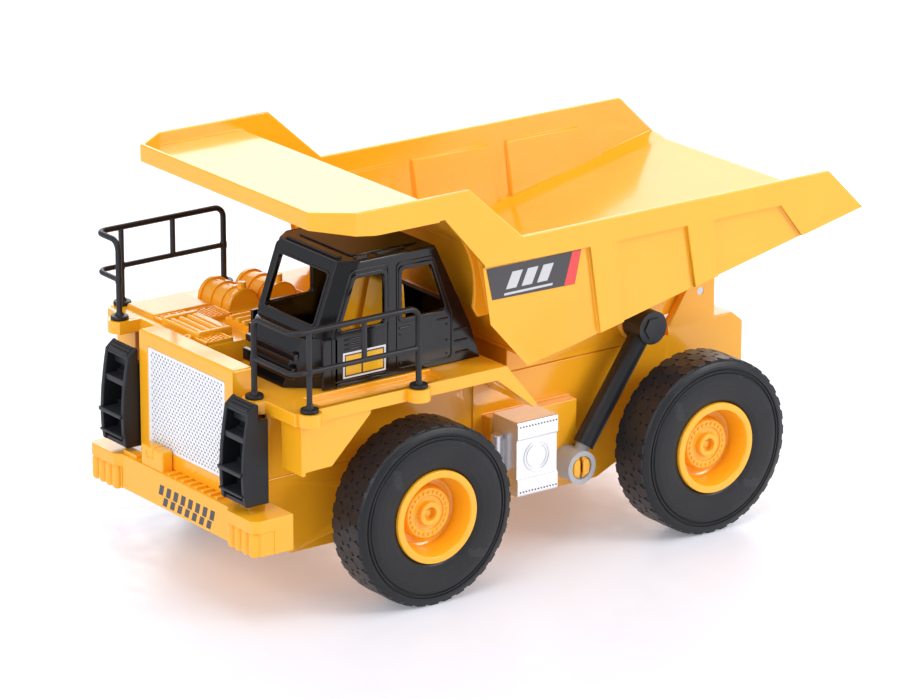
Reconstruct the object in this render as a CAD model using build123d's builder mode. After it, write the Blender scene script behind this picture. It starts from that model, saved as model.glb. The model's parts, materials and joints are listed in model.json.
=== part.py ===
from build123d import *
import math
import os

# Wheels
TYRE_R = 40.0
TYRE_W = 22.9
RIM_R = 20.6
TRACK_OUT = 81.4
AXLE_Z = TYRE_R
WHEELBASE = 150.6
AXLE_FRONT_Y = -77.2
AXLE_REAR_Y = AXLE_FRONT_Y + WHEELBASE
AXLE_R = 2.0
AXLE_BORE_R = AXLE_R + 0.05
WHEEL_IN = TRACK_OUT - TYRE_W
BEARING_X = WHEEL_IN - 3.5
HUB_SLEEVE_X = BEARING_X + 0.5
TYRE_WALL = 3.2

# Chassis
FRAME_X = 42.0
WALL = 2.0
FRAME_BOTTOM = 22.5
FRAME_LOW_TOP = 58.0
FRAME_TOP = 80.9
FRAME_FRONT_Y = -139.0
STEP_Y = -30.0
FRAME_REAR_Y = 119.5
BLOCK_TOP = 85.0
BLOCK_FRONT_Y = 77.1
PLATE_T = 2.0
SCREW_R = 1.5
SCREW_POSTS = ((-30.0, -116.0), (30.0, -116.0), (-30.0, 24.0), (30.0, 24.0))

# Bed hinge
HINGE_Y = 95.1
HINGE_Z = 98.2
HINGE_PIN_R = 1.8
LUG_R = 6.0
LUG_T = 4.2
UPRIGHT_T = 4.0
RUN_GAP = 0.05
SIDE_GAP = 0.4

# Bed
BED_X = 75.75
BED_T = 2.0
BED_LOW_FRONT = (-24.5, 95.2)
BED_TAIL = (159.1, 134.2)
BED_TOP_Z = 154.0
BED_TAIL_TOP_Y = 139.2
BED_SHOULDER_Y = -28.6
CANOPY_Z = 179.2
CANOPY_REAR_Y = -56.6
CANOPY_FRONT_Y = -130.3
CANOPY_CORNER_Y = -114.6
CANOPY_FRONT_X = 63.6
CANOPY_LOW_Z = 167.8
CANOPY_FLOOR = 173.5
FLOOR_DROP = 3.0
FLOOR_X = 65.0
FRONT_SHEET = ((-71.8, 171.5), (-41.0, 146.5), (-35.0, 117.5), (-17.0, 94.0))
KEEL_BOTTOM = FRAME_TOP + 0.2
KEEL_Y = (-12.0, 74.0)
RECESS_TOP = 142.9

# Hoist
ROD_BASE = (15.9, 36.7)
HEAD_PIVOT = (54.9, 93.1)
HOIST_X = 53.6
RING_R = 7.5
RING_IN = 48.2
RING_OUT = 60.0
SNAP_R = 4.6
SNAP_LIP_R = 5.3
ROD_R = 3.0
BARREL_R = 4.75
BARREL_START = 9.5
ROD_REACH = 58.0
STUB_R = 1.6
SOCKET_R = 2.75
SOCKET_HALF = 2.6
SOCKET_SHIFT = (0.25, -0.7)
SOCKET_BOSS_R = 7.8
SOCKET_FACE = 46.6

# Superstructure
DECK_X = 72.0
DECK_L_TOP = 96.5
DECK_R_TOP = 105.3
DECK_T = 5.5
DECK_FRONT_Y = -143.3
DECK_REAR_Y = -34.0
FENDER_X = 71.0
FENDER_FRONT_Y = -139.3
FENDER_LOW = 69.5
ARCH_Y = -104.2
HOUSING_X = 36.0
HOUSING_FRONT_Y = -150.0
HOUSING_REAR_Y = -139.3
HOUSING_TOP = 107.0
BUMPER_TOP = 49.8
BUMPER_LOW = 33.2
BUMPER_X = 64.2
BUMPER_FRONT_Y = -159.1
GRILLE_X = 29.5
GRILLE_Z = (57.0, 100.4)
TOWER_X = (37.0, 55.7)
CAB_X = (0.4, 55.0)
CAB_T = 2.0
CAB_TOP = 150.5
BOX_X = 48.0
TANK_X = 66.0
TANK_Y = (-23.6, -2.0)
TANK_Z = (32.7, 66.7)

# Railings
POST_R = 1.3
MID_R = 1.12
BAR_R = 1.2
FLANGE_R = 4.0
FLANGE_T = 1.6
RAIL_H = 35.0
RAIL_MID_H = 17.5
PEG_R = 1.5
PEG_L = 4.0
BEND_R = 4.0
POSTS_L = ((44.0, -144.5), (73.0, -136.5), (73.0, -81.0))
POSTS_R = ((-56.5, -146.8), (-73.5, -134.5), (-73.5, -81.5))

SIDES = (("left", 1), ("right", -1))
AXLES = (("front", AXLE_FRONT_Y), ("rear", AXLE_REAR_Y))


def bed_low(y):
    """Height of the side wall's lower edge at a distance along the truck."""
    run = BED_TAIL[0] - BED_LOW_FRONT[0]
    return BED_LOW_FRONT[1] + (y - BED_LOW_FRONT[0]) * (BED_TAIL[1] - BED_LOW_FRONT[1]) / run


def block(x, y, z, mode=Mode.ADD):
    """Box given by its low and high limits on each axis."""
    size = [abs(pair[1] - pair[0]) for pair in (x, y, z)]
    centre = tuple((pair[0] + pair[1]) / 2 for pair in (x, y, z))
    with Locations(centre):
        Box(*size, mode=mode)


def prism_x(points, x, mode=Mode.ADD):
    """Outline in (Y, Z) pushed from one X to the other."""
    low, high = min(x), max(x)
    with BuildSketch(Plane.YZ.offset(low)) as outline:
        Polygon(*points, align=None)
    extrude(outline.sketch, amount=high - low, mode=mode)


def prism_y(points, y, mode=Mode.ADD):
    """Outline in (X, Z) pushed from one Y to the other."""
    low, high = min(y), max(y)
    with BuildSketch(Plane((0, high, 0), x_dir=(1, 0, 0), z_dir=(0, -1, 0))) as outline:
        Polygon(*points, align=None)
    extrude(outline.sketch, amount=high - low, mode=mode)


def prism_z(points, z, mode=Mode.ADD):
    """Outline in (X, Y) pushed from one Z to the other."""
    with BuildSketch(Plane.XY.offset(z[0])) as outline:
        Polygon(*points, align=None)
    extrude(outline.sketch, amount=z[1] - z[0], mode=mode)


def rod_between(start, end, radius, mode=Mode.ADD):
    """Round bar from one point to another."""
    a, b = Vector(*start), Vector(*end)
    with BuildSketch(Plane(a, z_dir=b - a)) as section:
        Circle(radius)
    extrude(section.sketch, amount=(b - a).length, mode=mode)


def rod_x(x, y, z, radius, mode=Mode.ADD):
    rod_between((min(x), y, z), (max(x), y, z), radius, mode)


def rod_z(x, y, z, radius, mode=Mode.ADD):
    rod_between((x, y, z[0]), (x, y, z[1]), radius, mode)


def trough(y, corners, mode=Mode.ADD):
    """Loft between two cross-sections that follow the bed's slope."""
    faces = []
    for at in y:
        with BuildSketch(Plane((0, at, 0), x_dir=(1, 0, 0), z_dir=(0, -1, 0))) as outline:
            Polygon(*[(x, bed_low(at) + dz) for x, dz in corners], align=None)
        faces.append(outline.sketch.face())
    loft(sections=faces, ruled=True, mode=mode)


def bent_tube(points, radius):
    """Tube through the points, with rounded square corners."""
    pts = [Vector(*p) for p in points]
    cuts = [pts[0]]
    arcs = []
    for before, corner, after in zip(pts, pts[1:], pts[2:]):
        u = (corner - before).normalized()
        v = (after - corner).normalized()
        start = corner - u * BEND_R
        end = corner + v * BEND_R
        middle = start + v * BEND_R + (u - v).normalized() * BEND_R
        arcs.append((start, middle, end))
        cuts.extend([start, end])
    cuts.append(pts[-1])
    with BuildLine() as path:
        for i in range(0, len(cuts), 2):
            Line(cuts[i], cuts[i + 1])
        for start, middle, end in arcs:
            ThreePointArc(start, middle, end)
    with BuildSketch(Plane(pts[0], z_dir=pts[1] - pts[0])) as section:
        Circle(radius)
    sweep(sections=section.sketch, path=path.wire())


def frame_outer():
    prism_x(
        [
            (FRAME_FRONT_Y, FRAME_BOTTOM + 8),
            (FRAME_FRONT_Y + 14, FRAME_BOTTOM),
            (38, FRAME_BOTTOM),
            (48, FRAME_BOTTOM + 4.5),
            (100, FRAME_BOTTOM + 4.5),
            (FRAME_REAR_Y, 48),
            (FRAME_REAR_Y, BLOCK_TOP - 5),
            (FRAME_REAR_Y - 6, BLOCK_TOP),
            (BLOCK_FRONT_Y, BLOCK_TOP),
            (BLOCK_FRONT_Y, FRAME_TOP),
            (STEP_Y, FRAME_TOP),
            (STEP_Y, FRAME_LOW_TOP),
            (FRAME_FRONT_Y, FRAME_LOW_TOP),
        ],
        (-FRAME_X, FRAME_X),
    )


def frame_hollow():
    inner = FRAME_X - WALL
    prism_x(
        [
            (FRAME_FRONT_Y + WALL, FRAME_BOTTOM + 9),
            (FRAME_FRONT_Y + 16, FRAME_BOTTOM + WALL),
            (FRAME_FRONT_Y + 16, FRAME_BOTTOM - 1),
            (36, FRAME_BOTTOM - 1),
            (36, FRAME_BOTTOM + WALL),
            (47.6, FRAME_BOTTOM + 4.5 + WALL),
            (99.2, FRAME_BOTTOM + 4.5 + WALL),
            (FRAME_REAR_Y - WALL, 48.8),
            (FRAME_REAR_Y - WALL, BLOCK_TOP - 5.8),
            (FRAME_REAR_Y - 6.8, BLOCK_TOP - WALL),
            (BLOCK_FRONT_Y + WALL, BLOCK_TOP - WALL),
            (BLOCK_FRONT_Y + WALL, FRAME_TOP - WALL),
            (STEP_Y + WALL, FRAME_TOP - WALL),
            (STEP_Y + WALL, FRAME_LOW_TOP - WALL),
            (FRAME_FRONT_Y + WALL, FRAME_LOW_TOP - WALL),
        ],
        (-inner, inner),
        Mode.SUBTRACT,
    )


def frame_side(sign):
    """Axle bosses, hoist box, snap pin and hinge upright on one side."""
    for _, y in AXLES:
        rod_x((sign * (FRAME_X - WALL), sign * BEARING_X), y, AXLE_Z, 7.0)
    block((sign * FRAME_X, sign * BOX_X), (TANK_Y[0] - 1.4, 22), (28, 64.3))
    y, z = ROD_BASE
    rod_x((sign * BOX_X, sign * (RING_OUT - 0.8)), y, z, SNAP_R - RUN_GAP)
    rod_x((sign * (RING_OUT - 1.8), sign * (RING_OUT - 0.8)), y, z, SNAP_LIP_R - 0.3)
    block((sign * (BOX_X + 2), sign * RING_OUT), (y - 0.8, y + 0.8), (z - 8, z + 8), Mode.SUBTRACT)
    prism_x(
        [
            (BLOCK_FRONT_Y, BLOCK_TOP - 1),
            (HINGE_Y + 8.2, BLOCK_TOP - 1),
            (HINGE_Y + 8.2, HINGE_Z + 4.5),
            (HINGE_Y + 5, HINGE_Z + 6),
            (HINGE_Y - 5, HINGE_Z + 6),
        ],
        (sign * (FRAME_X - UPRIGHT_T), sign * FRAME_X),
    )


def make_frame():
    with BuildPart() as frame:
        frame_outer()
        frame_hollow()
        for _, sign in SIDES:
            frame_side(sign)
        for x, y in SCREW_POSTS:
            top = FRAME_LOW_TOP - 1 if y < STEP_Y else FRAME_TOP - 1
            rod_z(x, y, (FRAME_BOTTOM + PLATE_T, top), 4.0)
            rod_z(x, y, (FRAME_BOTTOM + PLATE_T - 1, FRAME_BOTTOM + 14), SCREW_R, Mode.SUBTRACT)
        for _, y in AXLES:
            rod_x((-BEARING_X - 1, BEARING_X + 1), y, AXLE_Z, AXLE_BORE_R, Mode.SUBTRACT)
        reach = FRAME_X + 1
        rod_x((-reach, reach), HINGE_Y, HINGE_Z, HINGE_PIN_R, Mode.SUBTRACT)
    frame.part.label = "chassis_frame"
    export_step(frame.part, "parts/chassis_frame.step")


def make_base_plate():
    gap = 0.15
    x = FRAME_X - WALL - gap
    low = FRAME_FRONT_Y + 16 + gap
    with BuildPart() as plate:
        block((-x, x), (low, 36 - gap), (FRAME_BOTTOM, FRAME_BOTTOM + PLATE_T))
        for px, py in SCREW_POSTS:
            rod_z(px, py, (FRAME_BOTTOM - 1, FRAME_BOTTOM + 3), SCREW_R + 0.1, Mode.SUBTRACT)
            rod_z(px, py, (FRAME_BOTTOM - 1, FRAME_BOTTOM + 1.2), SCREW_R + 1.6, Mode.SUBTRACT)
    plate.part.label = "chassis_base_plate"
    export_step(plate.part, "parts/chassis_base_plate.step")


def make_screws():
    with BuildPart() as screws:
        for x, y in SCREW_POSTS:
            rod_z(x, y, (FRAME_BOTTOM + 0.1, FRAME_BOTTOM + 1.2), SCREW_R + 1.4)
            rod_z(x, y, (FRAME_BOTTOM + 0.2, FRAME_BOTTOM + 12), SCREW_R)
            block((x - 2, x + 2), (y - 0.3, y + 0.3), (FRAME_BOTTOM, FRAME_BOTTOM + 0.6), Mode.SUBTRACT)
            block((x - 0.3, x + 0.3), (y - 2, y + 2), (FRAME_BOTTOM, FRAME_BOTTOM + 0.6), Mode.SUBTRACT)
    screws.part.label = "chassis_screws"
    export_step(screws.part, "parts/chassis_screws.step")


def make_hinge_pins():
    with BuildPart() as pins:
        for _, sign in SIDES:
            inner = FRAME_X - UPRIGHT_T - SIDE_GAP - LUG_T - 0.3
            rod_x((sign * inner, sign * (FRAME_X - 0.2)), HINGE_Y, HINGE_Z, HINGE_PIN_R)
    pins.part.label = "bed_hinge_pins"
    export_step(pins.part, "parts/bed_hinge_pins.step")


def bumper_ribs():
    for i in range(-14, 15):
        x = i * 4.2
        block((x - 0.8, x + 0.8), (BUMPER_FRONT_Y + 2, -150.3), (BUMPER_TOP - 1, BUMPER_TOP + 1.0))


def make_bumper():
    mid_y = BUMPER_FRONT_Y + 2.6
    with BuildPart() as bumper:
        prism_z(
            [
                (-BUMPER_X, BUMPER_FRONT_Y + 3),
                (-BUMPER_X + 2, BUMPER_FRONT_Y),
                (-44, BUMPER_FRONT_Y),
                (-41, mid_y),
                (41, mid_y),
                (44, BUMPER_FRONT_Y),
                (BUMPER_X - 2, BUMPER_FRONT_Y),
                (BUMPER_X, BUMPER_FRONT_Y + 3),
                (BUMPER_X, FRAME_FRONT_Y),
                (-BUMPER_X, FRAME_FRONT_Y),
            ],
            (BUMPER_LOW, BUMPER_TOP),
        )
        block((-39, 39), (mid_y - 3, FRAME_FRONT_Y), (BUMPER_LOW - 1, BUMPER_LOW + 2), Mode.SUBTRACT)
        inner = BUMPER_X - WALL
        block((-inner, inner), (mid_y + WALL, FRAME_FRONT_Y), (BUMPER_LOW + 4, BUMPER_TOP - WALL), Mode.SUBTRACT)
        for _, sign in SIDES:
            for x in (46.6, 51.4, 56.2, 61.0):
                groove = (sign * (x - 0.9), sign * (x + 0.9))
                block(groove, (BUMPER_FRONT_Y - 1, BUMPER_FRONT_Y + 1.1), (BUMPER_LOW - 1, 40), Mode.SUBTRACT)
        bumper_ribs()
        block((-27.2, -10.4), (mid_y + 0.6, HOUSING_FRONT_Y - 0.1), (BUMPER_TOP - 1, 59))
        block((-24.7, -17.7), (mid_y, HOUSING_FRONT_Y - 2), (52, 56.5), Mode.SUBTRACT)
    bumper.part.label = "front_bumper"
    export_step(bumper.part, "parts/front_bumper.step")


def make_housing():
    with BuildPart() as housing:
        x = HOUSING_X
        block((-x, x), (HOUSING_FRONT_Y, HOUSING_REAR_Y), (BUMPER_TOP, HOUSING_TOP))
        tops = housing.faces().sort_by(Axis.Z)[-1].edges()
        fillet(tops, radius=1.2)
        block((-x + 3, x - 3), (HOUSING_FRONT_Y + 4, HOUSING_REAR_Y), (BUMPER_TOP - 1, HOUSING_TOP - 3), Mode.SUBTRACT)
        block((-GRILLE_X, GRILLE_X), (HOUSING_FRONT_Y - 1, HOUSING_FRONT_Y + 1.8), GRILLE_Z, Mode.SUBTRACT)
        low, high = GRILLE_Z
        block((-GRILLE_X + 2, GRILLE_X - 2), (HOUSING_FRONT_Y, HOUSING_FRONT_Y + 6), (low + 2, high - 2), Mode.SUBTRACT)
    housing.part.label = "radiator_housing"
    export_step(housing.part, "parts/radiator_housing.step")


def make_grille():
    x = GRILLE_X - 0.05
    low, high = GRILLE_Z
    with BuildPart() as grille:
        block((-x, x), (HOUSING_FRONT_Y + 0.2, HOUSING_FRONT_Y + 1.8), (low + 0.05, high - 0.05))
    grille.part.label = "radiator_grille"
    export_step(grille.part, "parts/radiator_grille.step")


def make_tower(name, sign):
    inner, outer = TOWER_X
    with BuildPart() as tower:
        prism_x(
            [
                (-145.5, 53.4),
                (-157.0, 53.4),
                (-158.0, 60),
                (-158.2, 68),
                (-157.6, 77),
                (-156.4, 86),
                (-155.0, 94.4),
                (-150.2, 98.4),
                (-150.2, 90.6),
                (-145.5, 90.6),
            ],
            (sign * inner, sign * outer),
        )
        x = (sign * (inner + 2.2), sign * (outer - 2.2))
        for low, high in ((55.6, 57.4), (59.6, 66.6), (69.6, 80.6), (83.6, 93.2)):
            block(x, (-161, -148.6), (low, high), Mode.SUBTRACT)
    tower.part.label = f"headlamp_tower_{name}"
    export_step(tower.part, f"parts/headlamp_tower_{name}.step")


def fender(sign, top):
    """Outer skirt, front panel, inner wheel-well wall and rear ramp."""
    skirt = (sign * (FENDER_X - WALL), sign * FENDER_X)
    prism_x(
        [
            (FENDER_FRONT_Y, top),
            (FENDER_FRONT_Y, FENDER_LOW),
            (-124.0, FENDER_LOW),
            (ARCH_Y, 88.7),
            (ARCH_Y, top),
        ],
        skirt,
    )
    block((sign * 56.2, sign * FENDER_X), (FENDER_FRONT_Y, FENDER_FRONT_Y + WALL), (FENDER_LOW - 1.5, top))
    inner = (sign * (FRAME_X - WALL), sign * FRAME_X)
    block(inner, (-137, STEP_Y - 0.3), (FRAME_LOW_TOP, top + DECK_T - 1.5))
    drop = top - DECK_L_TOP + DECK_T
    prism_x(
        [
            (DECK_REAR_Y - 5, 91 + drop),
            (DECK_REAR_Y, 96.5 + drop),
            (-17.4, 76.2),
            (-19.8, 75.0),
        ],
        (sign * FRAME_X, sign * DECK_X),
    )


def deck_plate(sign, top, centre_x, tab):
    """Deck with post bosses; centre_x is the edge next to the truck's middle."""
    z = (top - DECK_T, top)
    post = (sign * tab[0], tab[1])
    prism_z(
        [
            (centre_x, -137.0),
            (sign * (HOUSING_X + 0.3), -137.0),
            (sign * (HOUSING_X + 0.3), -139.5),
            (post[0] - sign * 5.2, -139.5),
            (post[0] - sign * 5.2, post[1] - 3),
            (post[0] + sign * 5.2, post[1] - 3),
            (post[0] + sign * 6.5, DECK_FRONT_Y),
            (sign * DECK_X, DECK_FRONT_Y),
            (sign * DECK_X, DECK_REAR_Y),
            (centre_x, DECK_REAR_Y),
        ],
        z,
    )


def post_bosses(posts, top):
    for x, y in posts:
        rod_z(x, y, (top - DECK_T, top), 5.2)


def post_holes(posts, top):
    for x, y in posts:
        rod_z(x, y, (top - PEG_L - 0.3, top + 1), PEG_R + 0.05, Mode.SUBTRACT)


def make_deck_left():
    top = DECK_L_TOP
    with BuildPart() as deck:
        deck_plate(1, top, -0.3, POSTS_L[0])
        post_bosses(POSTS_L, top)
        fender(1, top - DECK_T)
        block((56, 69.5), (-128, -63), (top - 2.5, top + 1), Mode.SUBTRACT)
        block((2, 53), (-124, -40), (top - DECK_T - 1, top - 2), Mode.SUBTRACT)
        post_bosses(POSTS_L[2:], top)
        post_holes(POSTS_L, top)
    deck.part.label = "deck_left"
    export_step(deck.part, "parts/deck_left.step")


def deck_details(top):
    """Louvres, mesh pads, air-cleaner drums and the service pad."""
    block((-68.5, -47.5), (-135, -106.5), (top - 1, top + 1.8))
    block((-38, -11), (-136, -119), (top - 1, top + 1.8))
    for y in (-132.8, -128.6, -124.4):
        rod_x((-36, -13), y, top + 1.6, 1.5)
    block((-11, -1.4), (-138, -124.6), (top - 1, top + 1.2))
    block((-44, -30), (-119, -106), (top - 1, top + 1.2))
    block((-24, -6), (-114, -102), (top - 1, top + 3.2))
    for y, x_end in ((-95.0, -37.0), (-76.0, -36.0)):
        rod_x((-62, x_end), y, top + 0.6, 7.4)
        for x in (-60.5, -52.5, -44.5, x_end - 1.2):
            rod_x((x - 1, x + 1), y, top + 0.6, 8.2)
        rod_z(-40.5, y + 1, (top + 3, top + 11.2), 1.9)
    block((-58, -14), (-64, -42), (top - 1, top + 1.6))


def make_deck_right():
    top = DECK_R_TOP
    posts = POSTS_R
    with BuildPart() as deck:
        deck_plate(-1, top, -0.6, (-posts[0][0], posts[0][1]))
        deck_details(top)
        block((-68.5, -3), (-134, -38), (top - DECK_T - 12, top - 2), Mode.SUBTRACT)
        post_bosses(posts, top)
        fender(-1, top - DECK_T)
        block((-2.6, -0.6), (-136, DECK_REAR_Y), (DECK_L_TOP - 2, top - 1))
        post_holes(posts, top)
    deck.part.label = "deck_right"
    export_step(deck.part, "parts/deck_right.step")


def make_railing(name, posts, top):
    (ix, iy), (ox, oy), (rx, ry) = posts
    base = top + FLANGE_T
    high = top + RAIL_H
    mid = top + RAIL_MID_H
    with BuildPart() as railing:
        bent_tube([(ix, iy, base - 0.5), (ix, iy, high), (ox, iy, high), (ox, ry, high), (rx, ry, base - 0.5)], POST_R)
        bent_tube([(ix, iy, mid), (ox, iy, mid), (ox, ry, mid)], MID_R)
        rod_between((ox, oy, base - 0.5), (ox, oy, high), BAR_R)
        half = (oy + ry) / 2
        rod_between((ox, half, mid), (ox, half, high), BAR_R)
        for x, y in posts:
            rod_z(x, y, (top, base), FLANGE_R)
            rod_z(x, y, (top - PEG_L, top + 0.5), PEG_R)
    railing.part.label = f"railing_{name}"
    export_step(railing.part, f"parts/railing_{name}.step")


CAB_OUTER = (
    (-127.8, DECK_L_TOP),
    (-124.6, 112.5),
    (-120.8, 118.2),
    (-117.4, 118.8),
    (-105.6, CAB_TOP),
    (-59.4, CAB_TOP),
    (-41.0, 112.3),
    (-35.9, DECK_L_TOP),
)
CAB_INNER = (
    (-125.4, DECK_L_TOP - 1),
    (-122.6, 111.7),
    (-119.6, 116.2),
    (-115.9, 116.8),
    (-104.2, CAB_TOP - CAB_T),
    (-60.7, CAB_TOP - CAB_T),
    (-43.1, 111.9),
    (-38.3, DECK_L_TOP - 1),
)
WINDOW_FRONT = ((-101.0, 143.6), (-85.7, 143.6), (-85.7, 121.0), (-109.2, 121.0))
WINDOW_REAR = ((-77.2, 143.2), (-61.6, 143.2), (-53.6, 121.0), (-77.2, 121.0))


def cab_corner_cuts():
    x0, x1 = CAB_X
    for a, b in ((x1, -1), (x0, 1)):
        wedge = [(a + b * 6.0, -128.6), (a - b, -128.6), (a - b, -118.2), (a, -119.2)]
        prism_z(wedge, (DECK_L_TOP - 1, CAB_TOP + 5), Mode.SUBTRACT)


def make_cab():
    x0, x1 = CAB_X
    with BuildPart() as cab:
        prism_x(CAB_OUTER, (x0, x1))
        cab_corner_cuts()
        prism_x(CAB_INNER, (x0 + CAB_T, x1 - CAB_T), Mode.SUBTRACT)
        for _, side in (("near", x1), ("far", x0)):
            prism_x(WINDOW_FRONT, (side - 4, side + 4), Mode.SUBTRACT)
            prism_x(WINDOW_REAR, (side - 4, side + 4), Mode.SUBTRACT)
        prism_y([(9, 122.5), (46, 122.5), (46, 145), (9, 145)], (-122, -104), Mode.SUBTRACT)
        prism_y([(10, 122.5), (45, 122.5), (45, 143), (10, 143)], (-64, -40), Mode.SUBTRACT)
        block((x0 + 8, x1 - 8), (-98, -64), (CAB_TOP - 0.5, CAB_TOP + 0.9))
        block((x0 + 6, x1 - 6), (-104.6, -101.5), (CAB_TOP - 0.5, CAB_TOP + 1.2))
        for z in (100.8, 105.9, 111.0):
            block((x1 - 0.5, x1 + 0.5), (-50.4, -41.6 - (z - 100) * 0.2), (z - 0.5, z + 0.5))
        for z in (112.8, 115.0, 117.2):
            block((x1 - 0.5, x1 + 0.45), (-104.5, -94.5), (z - 0.4, z + 0.4))
    cab.part.label = "cab_shell"
    export_step(cab.part, "parts/cab_shell.step")


def make_seats():
    with BuildPart() as seats:
        for x in ((9, 26), (29.5, 46.5)):
            block(x, (-98, -66), (DECK_L_TOP, 110))
            prism_x([(-82, 109), (-76, 134), (-70, 134), (-68, 109)], x)
        block((9, 46.5), (-72, -66), (DECK_L_TOP, 112))
    seats.part.label = "cab_seats"
    export_step(seats.part, "parts/cab_seats.step")


def make_label():
    x = CAB_X[1]
    with BuildPart() as label:
        block((x, x + 0.3), (-107.2, -85.4), (100.4, 111.6))
    label.part.label = "cab_label"
    export_step(label.part, "parts/cab_label.step")


def make_tank(name, sign):
    y0, y1 = TANK_Y
    z0, z1 = TANK_Z
    with BuildPart() as tank:
        prism_y(
            [
                (sign * BOX_X, z0),
                (sign * (TANK_X - 1), z0),
                (sign * TANK_X, z0 + 1),
                (sign * TANK_X, z0 + 7.2),
                (sign * (TANK_X - 0.8), z0 + 8),
                (sign * (TANK_X - 0.8), z1 - 8),
                (sign * TANK_X, z1 - 7.2),
                (sign * TANK_X, z1 - 1),
                (sign * (TANK_X - 1), z1),
                (sign * BOX_X, z1),
            ],
            (y0, y1),
        )
        block((sign * (BOX_X - 1), sign * (TANK_X - 3)), (y0 + 1.8, y1 - 1.8), (z0 + 1.8, z1 - 1.8), Mode.SUBTRACT)
        mid_y, mid_z = (y0 + y1) / 2, (z0 + z1) / 2
        face = TANK_X - 0.8
        rod_x((sign * (face - 0.5), sign * (face + 0.5)), mid_y, mid_z, 7.0)
        rod_x((sign * (face + 0.1), sign * (face + 1)), mid_y, mid_z, 6.0, Mode.SUBTRACT)
    tank.part.label = f"fuel_tank_{name}"
    export_step(tank.part, f"parts/fuel_tank_{name}.step")


def make_filter(name, sign):
    x, y = sign * 54.5, TANK_Y[0] - 2.9
    with BuildPart() as canister:
        rod_z(x, y, (42.6, 59.4), 2.7)
        ends = canister.edges().filter_by(GeomType.CIRCLE)
        fillet(ends, radius=0.7)
        block((x - 1.2, x + 1.2), (y + 1, TANK_Y[0]), (45, 57))
    canister.part.label = f"tank_filter_{name}"
    export_step(canister.part, f"parts/tank_filter_{name}.step")


def bed_side_outline():
    return [
        BED_LOW_FRONT,
        BED_TAIL,
        (BED_TAIL_TOP_Y, BED_TOP_Z),
        (BED_SHOULDER_Y, BED_TOP_Z),
        (CANOPY_REAR_Y, CANOPY_Z),
        (-80.0, CANOPY_Z),
        (-80.0, CANOPY_LOW_Z + 0.4),
        (-69.3, CANOPY_LOW_Z + 0.6),
        (-48.6, 144.8),
        (-44.2, 117.3),
    ]


def canopy_plan(inset):
    x = BED_X - inset
    front = CANOPY_FRONT_Y + inset
    corner = CANOPY_CORNER_Y + inset * 0.4
    nose = CANOPY_FRONT_X - inset * 0.5
    return [(-x, -72), (-x, corner), (-nose, front), (nose, front), (x, corner), (x, -72)]


def bed_canopy():
    prism_z(canopy_plan(0), (CANOPY_LOW_Z, CANOPY_Z))
    prism_x(
        [
            (-140, 160),
            (-106.2, 160),
            (-106.2, CANOPY_LOW_Z),
            (CANOPY_FRONT_Y, 171.4),
            (-140, 171.4),
        ],
        (-90, 90),
        Mode.SUBTRACT,
    )
    prism_z(canopy_plan(BED_T), (CANOPY_FLOOR, CANOPY_Z + 1), Mode.SUBTRACT)
    prism_z(canopy_plan(BED_T), (CANOPY_LOW_Z - 2, CANOPY_FLOOR - BED_T), Mode.SUBTRACT)


def bed_body():
    """Outer form of walls, front sheet and floor trough, then the hopper is cut out."""
    prism_x(bed_side_outline(), (-BED_X, BED_X))
    (a, b, c, d) = FRONT_SHEET
    inner = BED_X - BED_T
    front_gap = [(-90, 160), (-90, a[1]), a, b, c, d, (d[0], 80), (-60, 80)]
    prism_x(front_gap, (-inner, inner), Mode.SUBTRACT)
    low = -FLOOR_DROP
    trough((d[0], BED_TAIL[0]), [(-BED_X, 0.01), (-FLOOR_X, low), (FLOOR_X, low), (BED_X, 0.01)])


def bed_hopper_cut():
    inner = BED_X - BED_T
    (a, b, c, d) = FRONT_SHEET
    front = d[0] + 1.8
    prism_x(
        [
            (front, bed_low(front) + 1.7),
            (175, bed_low(175) + 1.7),
            (175, 200),
            (a[0] - 4, 200),
            (a[0] - 4, CANOPY_FLOOR),
            (a[0] + 1.2, CANOPY_FLOOR),
            (b[0] + 1.9, b[1] + 1.2),
            (c[0] + 2.0, c[1] + 0.6),
        ],
        (-inner, inner),
        Mode.SUBTRACT,
    )
    edge = FLOOR_X - 0.7
    floor = BED_T - FLOOR_DROP
    corners = [(-inner, 12), (-inner, 1.7), (-edge, floor), (edge, floor), (inner, 1.7), (inner, 12)]
    trough((front + 0.4, 175), corners, Mode.SUBTRACT)


def recess_outlines():
    """Three pressed panels of the side wall, each open at the lower edge."""
    top = RECESS_TOP
    return (
        [(-60, top + 0.5), (7.3, top), (14.2, 98), (-20, 80), (-60, 80)],
        [(21.8, top), (60.3, top), (66.4, 108), (26.6, 99)],
        [(74.7, top), (112.4, top), (129.5, 121), (78.6, 108)],
    )


def pad_outlines():
    top = RECESS_TOP + 1.6
    low = 1.0
    return (
        [(-45.8, top), (9.2, top), (15.8, bed_low(15.8) + low), (-22.6, bed_low(-22.6) + low), (-42.2, 118)],
        [(19.9, top), (62.0, top), (67.6, bed_low(67.6) + low), (25.5, bed_low(25.5) + low)],
        [(72.9, top), (113.4, top), (128.0, bed_low(128.0) + low), (76.4, bed_low(76.4) + low)],
    )


def bed_panels():
    inner = BED_X - BED_T
    for _, sign in SIDES:
        for outline in pad_outlines():
            prism_x(outline, (sign * (inner - 1.8), sign * (inner + 0.5)))
        for outline in recess_outlines():
            prism_x(outline, (sign * (inner + 0.2), sign * (BED_X + 1)), Mode.SUBTRACT)


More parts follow.
